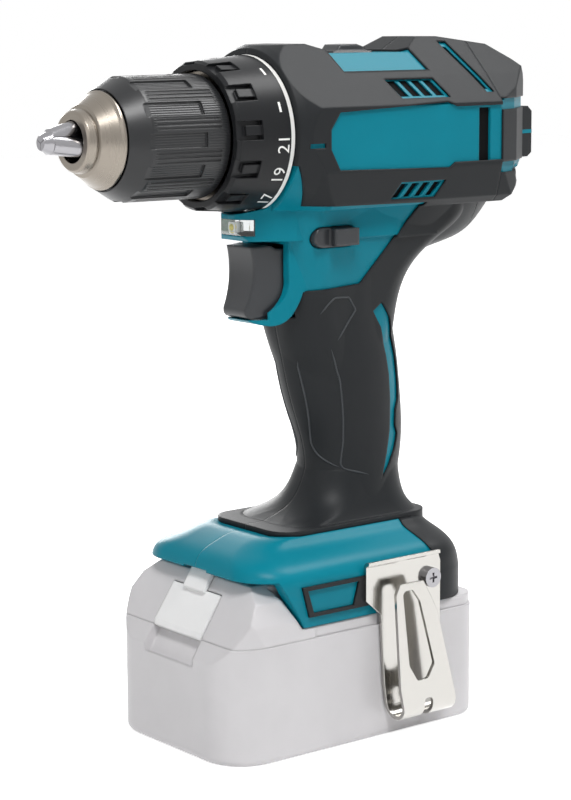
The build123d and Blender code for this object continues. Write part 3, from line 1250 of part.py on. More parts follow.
def case_block(inset, z0, z1):
    """Upright block with the plan of the battery, which is rounder in front."""
    with BuildPart() as made:
        with BuildSketch(Plane.XY.offset(z0)) as plan:
            with Locations(((BATTERY_FRONT_X + BATTERY_REAR_X) / 2, 0)):
                Rectangle(BATTERY_REAR_X - BATTERY_FRONT_X - 2 * inset, 2 * (BATTERY_HALF - inset))
            fillet(plan.vertices().group_by(Axis.X)[0], BATTERY_FRONT_CORNER - inset)
            fillet(plan.vertices().group_by(Axis.X)[-1], BATTERY_CORNER - inset)
        extrude(amount=z1 - z0)
    return made.part


BUTTON_RECESS = side_prism([
    on_slope(BUTTON_TOP - BUTTON_RUN, 2), on_slope(BUTTON_TOP - BUTTON_RUN, -BUTTON_DEPTH),
    on_slope(SLOPE_LENGTH + 2, -BUTTON_DEPTH), on_slope(SLOPE_LENGTH + 2, 2),
], -BUTTON_HALF - RUN, BUTTON_HALF + RUN)
CELL_FRONT_X = -46.0
CELL_X = (BATTERY_REAR_X - BATTERY_WALL + CELL_FRONT_X) / 2
CELL_ROWS = (BATTERY_WALL + SEAT + CELL_R, BATTERY_WALL + 3 * SEAT + 3 * CELL_R + 0.2)

with BuildPart() as battery_case:
    add(case_block(0, 0, CASE_TOP_Z))
    fillet(battery_case.edges().group_by(Axis.Z)[0], BATTERY_EDGE)
    add(side_prism([
        (BATTERY_FRONT_X, 0), SLOPE_FOOT, (SLOPE_CASE_X, CASE_TOP_Z), (BATTERY_REAR_X, CASE_TOP_Z),
        (BATTERY_REAR_X, 0),
    ]), mode=Mode.INTERSECT)
    add(rounded_block(CELL_FRONT_X, BATTERY_REAR_X - BATTERY_WALL, BATTERY_HALF - BATTERY_WALL,
                      BATTERY_CORNER - BATTERY_WALL, BATTERY_WALL, CASE_TOP_Z + 1), mode=Mode.SUBTRACT)
    add(BUTTON_RECESS, mode=Mode.SUBTRACT)
write(battery_case.part, "battery_case")

HEAD_REAR_X = FOOT_REAR_X - SKIN - WALL - RUN
with BuildPart() as battery_head:
    add(upright_box(-30, HEAD_REAR_X, RAIL_INNER - RUN, CASE_TOP_Z, BATTERY_TOP_Z))
    add(upright_box(-30, HEAD_REAR_X, HEAD_HALF, RAIL_Z + RAIL_HEIGHT + RUN, BATTERY_TOP_Z))
    add(rounded_block(-REACH, HEAD_REAR_X, BAY_HALF - RUN, BAY_CORNER - RUN, 0, BATTERY_TOP_Z + 1),
        mode=Mode.INTERSECT)

BROW_SECTION = mirrored([
    (0, BATTERY_TOP_Z), (27, BATTERY_TOP_Z), (33.5, 56.5), (36.6, 49), (BATTERY_HALF, CASE_TOP_Z),
    (0, CASE_TOP_Z),
])
with BuildPart() as battery_brow:
    with BuildSketch(Plane.YZ.offset(-60)):
        with BuildLine():
            Polyline(*BROW_SECTION, close=True)
        make_face()
    extrude(amount=40)
    add(case_block(0, 0, BATTERY_TOP_Z + 1), mode=Mode.INTERSECT)

with BuildPart() as battery_cover:
    add(case_block(0.6, CASE_TOP_Z, SKIRT_Z - RUN))
    add(battery_head.part)
    add(battery_brow.part)
    add(side_prism([
        (SLOPE_CASE_X, CASE_TOP_Z), (BATTERY_REAR_X, CASE_TOP_Z), (BATTERY_REAR_X, BATTERY_TOP_Z), SLOPE_TOP,
    ]), mode=Mode.INTERSECT)
    for side in (-1, 1):
        inner, outer = sorted((side * (RAIL_INNER - RUN), side * BATTERY_HALF))
        add(side_prism([(-25.9, SKIRT_Z - RUN), (-36.9, BATTERY_TOP_Z + 3), (-15, BATTERY_TOP_Z + 3),
                        (-15, SKIRT_Z - RUN)], inner, outer), mode=Mode.SUBTRACT)
    add(upright_box(-30, HEAD_REAR_X - BATTERY_WALL, RAIL_INNER - RUN - BATTERY_WALL, CASE_TOP_Z - 1,
                    BLOCK_Z - 0.6 - BATTERY_WALL), mode=Mode.SUBTRACT)
    add(upright_box(BLOCK_X - 0.6, BATTERY_REAR_X, BLOCK_HALF + 0.4, BLOCK_Z - 0.6, BATTERY_TOP_Z + 1),
        mode=Mode.SUBTRACT)
    for side in (-1, 1):
        add(side_prism([(BLOCK_X + 3, 48), (BLOCK_X + 3, 56), (BATTERY_REAR_X, 56), (BATTERY_REAR_X, 48)],
                       side * BLADE_Y - 1, side * BLADE_Y + 1), mode=Mode.SUBTRACT)
    add(BUTTON_RECESS, mode=Mode.SUBTRACT)
write(battery_cover.part, "battery_cover")

with BuildPart() as battery_cells:
    for row in CELL_ROWS:
        for column in range(-2, 3):
            add(along_y(CELL_X + CELL_PITCH * column, row, CELL_R, -CELL_LENGTH / 2, CELL_LENGTH / 2))
write(battery_cells.part, "battery_cells")

BOARD_Z = CELL_ROWS[1] + CELL_R + 0.2
with BuildPart() as battery_board:
    add(upright_box(CELL_X - 40, CELL_X + 40, 30, BOARD_Z, BOARD_Z + 1.6))
    for side in (-1, 1):
        for gap in (-1.2, 1.2):
            with BuildSketch(Plane.XY.offset(BOARD_Z + 1.6)):
                with Locations((BLOCK_X + BLOCK_LENGTH / 2, side * BLADE_Y + gap)):
                    Rectangle(14, 0.6)
            extrude(amount=10)
write(battery_board.part, "battery_board")

with BuildPart() as release_button:
    add(side_prism([
        on_slope(BUTTON_TOP, -BUTTON_DEPTH + RUN), on_slope(BUTTON_TOP, 0.4), on_slope(BUTTON_FOOT - 2, 1),
        on_slope(BUTTON_FOOT, 0), on_slope(BUTTON_FOOT, -BUTTON_DEPTH + RUN),
    ], -BUTTON_HALF, BUTTON_HALF))
    add(side_prism([
        on_slope(BUTTON_TOP + 1, RUN), on_slope(-1.5, RUN), on_slope(-1.5, 2), on_slope(BUTTON_TOP + 1, 2),
    ], -LATCH_HALF, LATCH_HALF))
write(release_button.part, "release_button")
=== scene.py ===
import bpy
import numpy as np
from mathutils import Matrix, Vector
from mathutils.bvhtree import BVHTree


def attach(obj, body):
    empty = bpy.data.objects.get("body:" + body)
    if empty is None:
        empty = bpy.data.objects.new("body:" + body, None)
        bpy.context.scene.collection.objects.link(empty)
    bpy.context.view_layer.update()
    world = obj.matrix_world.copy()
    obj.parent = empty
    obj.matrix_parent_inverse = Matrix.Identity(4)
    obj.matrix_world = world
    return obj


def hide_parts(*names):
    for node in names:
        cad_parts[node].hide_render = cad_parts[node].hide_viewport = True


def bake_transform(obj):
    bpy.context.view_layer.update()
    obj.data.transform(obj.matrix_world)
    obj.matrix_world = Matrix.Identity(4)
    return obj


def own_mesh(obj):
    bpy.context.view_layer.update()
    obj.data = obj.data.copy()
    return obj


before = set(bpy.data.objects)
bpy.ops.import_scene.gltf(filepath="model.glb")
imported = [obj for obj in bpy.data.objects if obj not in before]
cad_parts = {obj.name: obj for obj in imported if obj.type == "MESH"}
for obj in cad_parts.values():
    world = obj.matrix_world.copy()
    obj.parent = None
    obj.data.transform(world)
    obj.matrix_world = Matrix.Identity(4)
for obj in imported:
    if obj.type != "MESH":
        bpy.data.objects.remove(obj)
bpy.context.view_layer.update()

MM = 0.001

# The camera stands in front of the chuck, a little above it, on the belt-hook side.
# Its place and lens come from fitting the chuck's circles and the body's corners in the photograph.
CAMERA_PLACE = (-506.1 * MM, -639.0 * MM, 256.7 * MM)
CAMERA_YAW, CAMERA_PITCH, CAMERA_ROLL = np.radians([51.82, 9.56, -0.33])
LENS_MM = 102.70
SENSOR_MM = 36
FAR_CLIP = 20
ahead = np.array([
    np.cos(CAMERA_YAW) * np.cos(CAMERA_PITCH),
    np.sin(CAMERA_YAW) * np.cos(CAMERA_PITCH),
    -np.sin(CAMERA_PITCH),
])
level = np.array([np.sin(CAMERA_YAW), -np.cos(CAMERA_YAW), 0])
upright = np.cross(level, ahead)
right = np.cos(CAMERA_ROLL) * level + np.sin(CAMERA_ROLL) * upright
up = np.cos(CAMERA_ROLL) * upright - np.sin(CAMERA_ROLL) * level
camera_turn = Matrix(np.stack([right, up, -ahead], axis=1)).to_4x4()
camera_data = bpy.data.cameras.new("camera")
camera_data.lens = LENS_MM
camera_data.sensor_width = SENSOR_MM
camera_data.clip_end = FAR_CLIP
camera = bpy.data.objects.new("camera", camera_data)
camera.matrix_world = Matrix.Translation(CAMERA_PLACE) @ camera_turn
bpy.context.scene.collection.objects.link(camera)
bpy.context.scene.camera = camera


# Housing halves and rear cover: glass-filled nylon, injection moulded in teal.
# The mould is spark eroded, which gives a fine even grain and a soft sheen, and every edge is a little round.
def linear(colour):
    """Linear RGBA of an sRGB hex colour."""
    value = np.array([int(colour[i:i + 2], 16) for i in (1, 3, 5)]) / 255
    value = np.where(value <= 0.04045, value / 12.92, ((value + 0.055) / 1.055) ** 2.4)
    return (*value, 1)


def node(tree, kind, inputs, **settings):
    """Adds a shader node; an input's value is a number, a colour or another node's output."""
    made = tree.nodes.new("ShaderNode" + kind)
    for name, value in settings.items():
        setattr(made, name, value)
    for name, value in inputs.items():
        if isinstance(value, bpy.types.NodeSocket):
            tree.links.new(value, made.inputs[name])
        else:
            made.inputs[name].default_value = value
    return made


def empty_material(name):
    """A material with no nodes, and its tree."""
    made = bpy.data.materials.new(name)
    made.use_nodes = True
    made.node_tree.nodes.clear()
    return made, made.node_tree


MOTTLE_MM = 18
BEVEL_SAMPLES = 6


def moulded(name, colour, roughness, grain_mm, depth_mm, edge_mm, shine=0.5):
    """Moulded plastic or rubber: eroded grain as bump, faint mottling of tone and gloss, rounded edges."""
    made, tree = empty_material(name)
    place = node(tree, "TexCoord", {}).outputs["Object"]
    grain = node(tree, "TexNoise", {"Vector": place, "Scale": 1 / (grain_mm * MM), "Detail": 2.0})
    cloud = node(tree, "TexNoise", {"Vector": place, "Scale": 1 / (MOTTLE_MM * MM), "Detail": 3.0})
    tone = node(tree, "ValToRGB", {"Fac": cloud.outputs["Fac"]})
    base = np.array(linear(colour))
    for stop, position, share in zip(tone.color_ramp.elements, (0.3, 0.7), (0.97, 1.02)):
        stop.position = position
        stop.color = (*(base[:3] * share), 1)
    gloss = node(tree, "MapRange", {
        "Value": grain.outputs["Fac"], "To Min": roughness - 0.05, "To Max": roughness + 0.07,
    })
    edges = node(tree, "Bevel", {"Radius": edge_mm * MM}, samples=BEVEL_SAMPLES)
    bump = node(tree, "Bump", {
        "Height": grain.outputs["Fac"], "Distance": depth_mm * MM, "Strength": 0.5,
        "Normal": edges.outputs["Normal"],
    })
    shader = node(tree, "BsdfPrincipled", {
        "Base Color": tone.outputs["Color"], "Roughness": gloss.outputs["Result"],
        "Normal": bump.outputs["Normal"], "Specular IOR Level": shine,
    })
    node(tree, "OutputMaterial", {"Surface": shader.outputs["BSDF"]})
    return made


def dress(material, *names):
    """Gives CAD nodes a material in place of their own."""
    for name in names:
        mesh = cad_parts[name].data
        mesh.materials.clear()
        mesh.materials.append(material)


teal_nylon = moulded(
    "teal_glass_filled_nylon", "#047C8F", roughness=0.34, grain_mm=0.7, depth_mm=0.02, edge_mm=0.8, shine=0.13)
dress(teal_nylon, "housing_left", "housing_right", "rear_cover")

# Soft layer over the handle and the upper body: thermoplastic elastomer moulded onto the nylon.
# It is charcoal grey and matt, with a leathery stipple that takes the shine off.
elastomer = moulded(
    "charcoal_elastomer", "#232527", roughness=0.42, grain_mm=0.6, depth_mm=0.04, edge_mm=1.2, shine=0.14)
dress(elastomer, "grip_left", "grip_right", "rear_skin", "rear_bumper")


# Raised hairlines of the grip: two flow lines down each side and an open hexagon below the lower body.
# They are moulded with the soft layer, about 0.7 mm wide, and follow its surface; their paler grey is a
# painted highlight for the light that the raised lines catch.
def add_piece(name, mesh, material, body):
    """Object of a mesh, with its material and slot, riding on a body if one is named."""
    mesh.materials.append(material)
    piece = bpy.data.objects.new(name, mesh)
    bpy.context.scene.collection.objects.link(piece)
    if body:
        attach(piece, body)
    return piece


def surface(name, points, material, body, closed=False):
    """Smooth quad mesh over a grid of points, closed in the second direction if asked."""
    rows, columns = points.shape[:2]
    index = np.arange(rows * columns).reshape(rows, columns)
    index = np.concatenate([index, index[:, :1]], axis=1) if closed else index
    quads = np.stack([index[:-1, :-1], index[1:, :-1], index[1:, 1:], index[:-1, 1:]], axis=-1).reshape(-1, 4)
    mesh = bpy.data.meshes.new(name)
    mesh.from_pydata(points.reshape(-1, 3).tolist(), [], quads.tolist())
    mesh.polygons.foreach_set("use_smooth", np.ones(len(quads), dtype=bool))
    return add_piece(name, mesh, material, body)


def along(corners, count, smooth):
    """Points along straight runs through corners, averaged over a window so that the corners are round."""
    corners = np.array(corners, dtype=float)
    run = np.concatenate([[0], np.cumsum(np.linalg.norm(np.diff(corners, axis=0), axis=1))])
    place = np.linspace(0, run[-1], count)
    spread = np.linspace(-1, 1, 9) * smooth
    taken = np.clip(place[:, None] + spread, 0, run[-1])
    return np.stack([np.interp(taken, run, values).mean(axis=1) for values in corners.T], axis=1)


def bead(name, path, radius, material, body, sides=8):
    """Thin tube: circles of the radius set square to the path at each of its points, tapered at both ends."""
    ahead = np.gradient(path, axis=0)
    ahead /= np.linalg.norm(ahead, axis=1, keepdims=True)
    side = np.cross(ahead, [0, 1, 0])
    side /= np.linalg.norm(side, axis=1, keepdims=True)
    lift = np.cross(side, ahead)
    turn = np.linspace(0, 2 * np.pi, sides, endpoint=False)[None, :, None]
    rise = np.minimum(1, np.linspace(0, 12, len(path)))
    taper = (rise * rise[::-1])[:, None, None]
    rings = path[:, None] + radius * taper * (np.cos(turn) * side[:, None] + np.sin(turn) * lift[:, None])
    return surface(name, rings, material, body, closed=True)


FLOW_LINES = {
    "front": ([(-3.7, 135.6), (-1.5, 127.1), (3.1, 110.4), (5.4, 101), (7.7, 97), (12.4, 94.6)], 3.0),
    "rear": ([(4.6, 139.9), (9.2, 127.8), (11.5, 113), (12.4, 103.8), (11.9, 94.6), (22.8, 91.4)], 2.0),
    "hexagon": ([
        (-1, 152), (1.6, 155.7), (4.3, 158), (10.8, 157.8), (14.5, 152.9), (11.7, 148.8), (7, 142),
    ], 0.7),
}
LINE_POINTS = 90
BEAD_R = 0.34
OUTSIDE_Y = -60
# Paler grey than the soft layer: a painted highlight on the raised hairlines.
elastomer_painted_highlight = moulded(
    "elastomer_lines_painted_highlight", "#414447", roughness=0.42, grain_mm=0.6, depth_mm=0.02, edge_mm=0.2, shine=0.2)
left_skin = BVHTree.FromObject(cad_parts["grip_left"], bpy.context.evaluated_depsgraph_get())
for line, (corners, rounding) in FLOW_LINES.items():
    flat = along(corners, LINE_POINTS, rounding)
    hits = [left_skin.ray_cast((x * MM, OUTSIDE_Y * MM, z * MM), (0, 1, 0))[0] for x, z in flat]
    depth = np.array([hit.y if hit else np.nan for hit in hits]) / MM
    on_skin = np.isfinite(depth)
    depth = np.interp(np.arange(len(depth)), np.flatnonzero(on_skin), depth[on_skin])
    for side, hand in ((1, "left"), (-1, "right")):
        path = np.stack([flat[:, 0], side * depth, flat[:, 1]], axis=1)
        bead(f"grip_{line}_line_{hand}", path * MM, BEAD_R * MM, elastomer_painted_highlight, "housing")


# Painted shade: near-black sheets set a little way into the cooling slots, so that the slots look dark as if
# in shade.
# Each follows the slope of the body's side.
# Near-black colour of the slot sheets: painted shade for the dark inside of the slots.
painted_shade_black = moulded(
    "painted_shade_black_sheet", "#0B0C0D", roughness=0.8, grain_mm=0.4, depth_mm=0.05, edge_mm=0.1, shine=0.1)
SIDE_HEIGHTS = np.array([188, 191.5, 203, 225.5, 235.5, 249])
SIDE_HALVES = np.array([25, 28.5, 31.5, 31.5, 22.5, 9])
SHADE_SHEET_DEPTH = 2.0


def screen(name, slot_corners, side):
    """Near-black sheet of painted shade over a four-cornered slot in the side view, sunk below the body's
    side, facing outwards.
    """
    a, b, c, d = np.array(slot_corners, dtype=float)[:, None, None]
    u, v = np.meshgrid(np.linspace(0, 1, 4), np.linspace(0, 1, 12), indexing="ij")
    u, v = u[..., None], v[..., None]
    flat = (1 - u) * (1 - v) * a + u * (1 - v) * b + u * v * c + (1 - u) * v * d
    depth = side * (np.interp(flat[..., 1], SIDE_HEIGHTS, SIDE_HALVES) - SHADE_SHEET_DEPTH)
    points = np.stack([flat[..., 0], depth, flat[..., 1]], axis=-1) * MM
    surface(name, points[::side], painted_shade_black, "housing")


UPPER_SLOT_X, UPPER_SLOT_STEP = 24.2, 5.6
LOWER_SLOT_X, LOWER_SLOT_STEP = 22.6, 5.2
SLOTS = {
    "seam": [(62, 203.4), (62, 223.6), (67.6, 223.6), (67.6, 203.4)],
    "slit": [(60.6, 245), (62.4, 245), (70, 230), (68.4, 230)],
}
for k in range(4):
    x = UPPER_SLOT_X + UPPER_SLOT_STEP * k
    SLOTS[f"upper_{k + 1}"] = [(x, 233.6), (x + 3.8, 233.6), (x + 6.6, 228.3), (x + 2.8, 228.3)]
    x = LOWER_SLOT_X + LOWER_SLOT_STEP * k
    SLOTS[f"lower_{k + 1}"] = [(x + 3.4, 197.8), (x + 6.6, 197.8), (x + 3.2, 193), (x, 193)]
# Each slot gets a sheet of painted shade on both sides of the body.
for slot_name, slot_corners in SLOTS.items():
    for side, hand in ((-1, "left"), (1, "right")):
        screen(f"painted_shade_sheet_{slot_name}_{hand}", slot_corners, side)

# Rear bumper inlay: a narrow line of the housing's teal nylon, round the back of the drill.
# It shows through a slot that is left open in the rubber, level with the bumper's face.
INLAY_PLAN = [(97.5, -14.5), (105.5, -13.1), (107.05, -11.6), (107.05, 11.6), (105.5, 13.1), (97.5, 14.5)]
INLAY_HEIGHTS = (212.4, 213.8)
inlay_path = along(INLAY_PLAN, 80, 0.4)
inlay = np.stack([
    np.column_stack([inlay_path, np.full(len(inlay_path), height)]) for height in INLAY_HEIGHTS
], axis=1)
surface("bumper_inlay", inlay * MM, teal_nylon, "housing")

# Torque ring, levers, frame and other hard black pieces: nylon with black pigment.
# It is a shade darker and a little glossier than the soft layer; the trigger and levers are a touch paler, and
# part of that paleness is painted light for the light on the trigger's front face.
black_nylon = moulded(
    "black_nylon", "#1C1D1F", roughness=0.32, grain_mm=0.6, depth_mm=0.02, edge_mm=0.6, shine=0.18)
dress(black_nylon, "torque_ring", "badge_frame", "switch_body", "terminal_block", "cooling_fan",
      "brush_holder", "clutch_nut")
# Trigger and levers: paler than the black nylon, partly as painted light on the trigger's front face.
trigger_nylon_painted_light = moulded(
    "trigger_nylon_painted_light", "#2E3033", roughness=0.30, grain_mm=0.6, depth_mm=0.02, edge_mm=1.6, shine=0.42)
dress(trigger_nylon_painted_light, "trigger", "direction_lever", "speed_lever")

# Chuck sleeve: black nylon moulded in a die with fine ribs along the axis, which give the hand its hold.
# The ribs stand 0.9 mm apart behind the smooth front cone, and show as a close streaking of the highlights.
RING_AXIS_Z = 216.0
SLEEVE_R = 21.4
RIB_MM = 0.9
RIB_RISE = 0.12
CONE_END_X = -73.5
ribs_round = round(2 * np.pi * SLEEVE_R / RIB_MM)
ribbed_nylon, rib_tree = empty_material("ribbed_black_nylon")
rib_place = node(rib_tree, "SeparateXYZ", {"Vector": node(rib_tree, "TexCoord", {}).outputs["Object"]})
rib_height = node(rib_tree, "Math", {0: rib_place.outputs["Z"], 1: RING_AXIS_Z * MM}, operation="SUBTRACT")
rib_turn = node(rib_tree, "Math", {0: rib_height.outputs[0], 1: rib_place.outputs["Y"]}, operation="ARCTAN2")
rib_phase = node(rib_tree, "Math", {0: rib_turn.outputs[0], 1: float(ribs_round)}, operation="MULTIPLY")
rib_sine = node(rib_tree, "Math", {0: rib_phase.outputs[0]}, operation="SINE")
behind_cone = node(rib_tree, "Math", {
    0: rib_place.outputs["X"], 1: CONE_END_X * MM,
}, operation="GREATER_THAN")
rib_wave = node(rib_tree, "Math", {0: rib_sine.outputs[0], 1: behind_cone.outputs[0]}, operation="MULTIPLY")
rib_edges = node(rib_tree, "Bevel", {"Radius": 0.6 * MM}, samples=BEVEL_SAMPLES)
rib_bump = node(rib_tree, "Bump", {
    "Height": rib_wave.outputs[0], "Distance": RIB_RISE * MM, "Strength": 0.35,
    "Normal": rib_edges.outputs["Normal"],
})
rib_gloss = node(rib_tree, "MapRange", {
    "Value": rib_wave.outputs[0], "From Min": -1.0, "To Min": 0.40, "To Max": 0.30,
})
rib_shader = node(rib_tree, "BsdfPrincipled", {
    "Base Color": linear("#1C1D1F"), "Roughness": rib_gloss.outputs["Result"],
    "Normal": rib_bump.outputs["Normal"], "Specular IOR Level": 0.42,
})
node(rib_tree, "OutputMaterial", {"Surface": rib_shader.outputs["BSDF"]})
dress(ribbed_nylon, "chuck_sleeve")

# Torque settings: white numerals, two dashes and a line, pad printed on the rear band of the ring.
# The numerals stand with their tops to the chuck and run up the left side.
white_ink = moulded(
    "white_printing_ink", "#F2F2EF", roughness=0.45, grain_mm=0.5, depth_mm=0.005, edge_mm=0.1)
INK = 0.09
PRINT_R = 27
LINE_X = np.array([-21.9, -20.4])
DASH_X = np.array([-25.6, -24.7])
DASH_DEGREES = (22, 54)
DASH_HALF = 1.8
DIGIT_SIZE = 6.6
DIGIT_FOOT_X = -22.6
FIRST_DIGIT_DEGREES, DIGIT_STEP_DEGREES = -5, 24


def ring_radius(x):
    """Radius in mm of the ring's rear band, which tapers towards the chuck."""
    return 26.6 + 0.08 * np.clip(x + 31, 0, 10)


def on_ring(x, turn):
    """Points in metres just above the band, from x in mm and the turn up from the left side in radians."""
    radius = ring_radius(x) + INK
    return np.stack([x, -radius * np.cos(turn), RING_AXIS_Z + radius * np.sin(turn)], axis=-1) * MM


all_round = np.linspace(0, 2 * np.pi, 240, endpoint=False)
line_grid = np.meshgrid(LINE_X, all_round, indexing="ij")
surface("ring_line", on_ring(*line_grid), white_ink, "torque_ring", closed=True)
for k, degrees in enumerate(DASH_DEGREES):
    across = np.radians(degrees) + np.linspace(-DASH_HALF, DASH_HALF, 9) / PRINT_R
    dash_grid = np.meshgrid(DASH_X, across, indexing="ij")
    surface(f"ring_dash_{k + 1}", on_ring(*dash_grid), white_ink, "torque_ring")
for k, number in enumerate(range(21, 0, -2)):
    curve = bpy.data.curves.new("numeral", "FONT")
    curve.body = str(number)
    curve.size = DIGIT_SIZE
    curve.align_x = "CENTER"
    curve.resolution_u = 4
    writing = bpy.data.objects.new("numeral", curve)
    glyphs = bpy.data.meshes.new_from_object(writing)
    bpy.data.objects.remove(writing)
    bpy.data.curves.remove(curve)
    flat = np.empty(3 * len(glyphs.vertices))
    glyphs.vertices.foreach_get("co", flat)
    flat = flat.reshape(-1, 3)
    turn = np.radians(FIRST_DIGIT_DEGREES - DIGIT_STEP_DEGREES * k) + flat[:, 0] / PRINT_R
    glyphs.vertices.foreach_set("co", on_ring(DIGIT_FOOT_X - flat[:, 1], turn).reshape(-1))
    glyphs.name = f"ring_number_{number}"
    glyphs.materials.clear()
    add_piece(f"ring_number_{number}", glyphs, white_ink, "torque_ring")


# Chuck nose, jaws, hook and other bare steel: turned or ground, then nickel plated where it shows.
# The tool leaves fine lines round the axis, which stretch the highlights.
def turned_metal(name, colour, roughness, line_mm, stretch, edge_mm):
    """Machined metal: fine lines, long where stretch is small, as bump and as uneven gloss."""
    made, tree = empty_material(name)
    place = node(tree, "TexCoord", {}).outputs["Object"]
    lines = node(tree, "Mapping", {"Vector": place, "Scale": stretch}).outputs["Vector"]
    scratch = node(tree, "TexNoise", {"Vector": lines, "Scale": 1 / (line_mm * MM), "Detail": 2.0})
    gloss = node(tree, "MapRange", {
        "Value": scratch.outputs["Fac"], "To Min": roughness - 0.06, "To Max": roughness + 0.08,
    })
    edges = node(tree, "Bevel", {"Radius": edge_mm * MM}, samples=BEVEL_SAMPLES)
    bump = node(tree, "Bump", {
        "Height": scratch.outputs["Fac"], "Distance": 0.01 * MM, "Strength": 0.3,
        "Normal": edges.outputs["Normal"],
    })
    shader = node(tree, "BsdfPrincipled", {
        "Base Color": linear(colour), "Metallic": 1.0, "Roughness": gloss.outputs["Result"],
        "Normal": bump.outputs["Normal"],
    })
    node(tree, "OutputMaterial", {"Surface": shader.outputs["BSDF"]})
    return made


ROUND_THE_AXIS = (1, 0.02, 0.02)
DOWN_THE_HOOK = (1, 1, 0.03)
EVEN = (1, 1, 1)
nickel = turned_metal(
    "satin_nickel_plate", "#8A837A", roughness=0.28, line_mm=0.5, stretch=ROUND_THE_AXIS, edge_mm=0.4)
dress(nickel, "chuck_nose", "ring_retainer")
ground_steel = turned_metal(
    "ground_steel", "#98979A", roughness=0.20, line_mm=0.4, stretch=ROUND_THE_AXIS, edge_mm=0.2)
dress(ground_steel, "chuck_jaw_1", "chuck_jaw_2", "chuck_jaw_3", "hook_screw", "spindle_bearings",
      "motor_bearings", "clutch_spring", "trigger_spring")
spring_steel = turned_metal(
    "nickel_plated_spring_steel", "#B2B0AC", roughness=0.15, line_mm=0.6, stretch=DOWN_THE_HOOK, edge_mm=0.4)
dress(spring_steel, "belt_hook")
black_steel = turned_metal(
    "black_oxide_steel", "#3A3A3C", roughness=0.38, line_mm=0.4, stretch=EVEN, edge_mm=0.3)
dress(black_steel, "housing_screws")


# Springs: round music wire, coiled and ground flat at the ends, each pressed between two moving pieces.
# Here the clutch spring stands fixed in the scene.
# The trigger spring rides on the housing and keeps its length.
def coil(name, x_from, x_to, height, radius, wire_r, turns):
    """Wire carried along a helix about a line in x: circles in the plane of the radius, closed at each end."""
    share = np.linspace(0, 1, 60 * turns)
    turn = (2 * np.pi * turns * share)[:, None, None]
    around = np.linspace(0, 2 * np.pi, 12, endpoint=False)[None, :, None]
    outward = np.concatenate([0 * turn, np.cos(turn), np.sin(turn)], axis=2)
    centre = np.array([0, 0, height]) + radius * outward
    centre[..., 0] += x_from + wire_r + (x_to - x_from - 2 * wire_r) * share[:, None]
    thickness = wire_r * np.minimum(1, np.minimum(share, 1 - share) * 60 * turns)[:, None, None]
    points = centre + thickness * (np.cos(around) * outward + np.sin(around) * np.array([1, 0, 0]))
    return surface(name, points * MM, ground_steel, None, closed=True)


CLUTCH_FRONT_X, CLUTCH_BACK_X = -30.4, -24.6
clutch_coil = coil("clutch_coil", CLUTCH_FRONT_X, CLUTCH_BACK_X, RING_AXIS_Z, radius=19.7, wire_r=0.9, turns=2)
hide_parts("clutch_spring")
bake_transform(clutch_coil)
TRIGGER_FRONT_X, TRIGGER_BACK_X = -9.9, -2.1
TRIGGER_AXIS_Z = 166.0
trigger_coil = coil(
    "trigger_coil", TRIGGER_FRONT_X, TRIGGER_BACK_X, TRIGGER_AXIS_Z, radius=3.0, wire_r=0.45, turns=4)
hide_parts("trigger_spring")
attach(trigger_coil, "housing")
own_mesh(trigger_coil)

# Works inside: hardened gears and shafts, die-cast case, ferrite magnets, copper and brass.
# They show through the vents, with the battery off or in a section.
ACROSS_THE_FOOT = (0.02, 1, 0.02)
gear_steel = turned_metal(
    "hardened_gear_steel", "#77787A", roughness=0.34, line_mm=0.4, stretch=ROUND_THE_AXIS, edge_mm=0.1)
dress(gear_steel, "chuck_body", "chuck_nut", "chuck_screw", "spindle", "output_carrier", "input_carrier",
      "clutch_ring_gear", "shift_ring", "motor_yoke", "armature_core", "armature_shaft",
      *[f"{stage}_planet_{k}" for stage in ("output", "input") for k in (1, 2, 3)])
cast_metal = turned_metal(
    "die_cast_aluminium", "#A6A8AA", roughness=0.45, line_mm=0.8, stretch=EVEN, edge_mm=0.5)
dress(cast_metal, "gear_case", "motor_plate")
ferrite = moulded("sintered_ferrite", "#2A2A2C", roughness=0.7, grain_mm=0.5, depth_mm=0.03, edge_mm=0.2)
dress(ferrite, "motor_magnets")
carbon = moulded("brush_carbon", "#1B1B1C", roughness=0.6, grain_mm=0.4, depth_mm=0.02, edge_mm=0.2)
dress(carbon, "carbon_brushes")
copper = turned_metal(
    "bare_copper", "#B9744A", roughness=0.3, line_mm=0.4, stretch=ROUND_THE_AXIS, edge_mm=0.1)
dress(copper, "commutator")
brass = turned_metal(
    "turned_brass", "#C8A55A", roughness=0.3, line_mm=0.4, stretch=ACROSS_THE_FOOT, edge_mm=0.2)
dress(brass, "hook_inserts")
board = moulded("glass_fibre_board", "#1F5B38", roughness=0.35, grain_mm=0.8, depth_mm=0.01, edge_mm=0.1)
dress(board, "lamp_board", "battery_board")
cell_wrap = moulded("shrink_wrapped_cell", "#4C7FA0", roughness=0.3, grain_mm=1.0, depth_mm=0.01, edge_mm=0.5)
dress(cell_wrap, "battery_cells")

# Battery: a pale grey nylon case and cover with a white release button on the front slope.
# It has the same eroded grain as the housing, a little shallower.
battery_nylon = moulded(
    "pale_grey_nylon", "#D0CED0", roughness=0.38, grain_mm=0.7, depth_mm=0.015, edge_mm=1.4)
dress(battery_nylon, "battery_case", "battery_cover")
white_nylon = moulded("white_nylon", "#EFEFEF", roughness=0.40, grain_mm=0.7, depth_mm=0.01, edge_mm=1.0)
dress(white_nylon, "release_button")

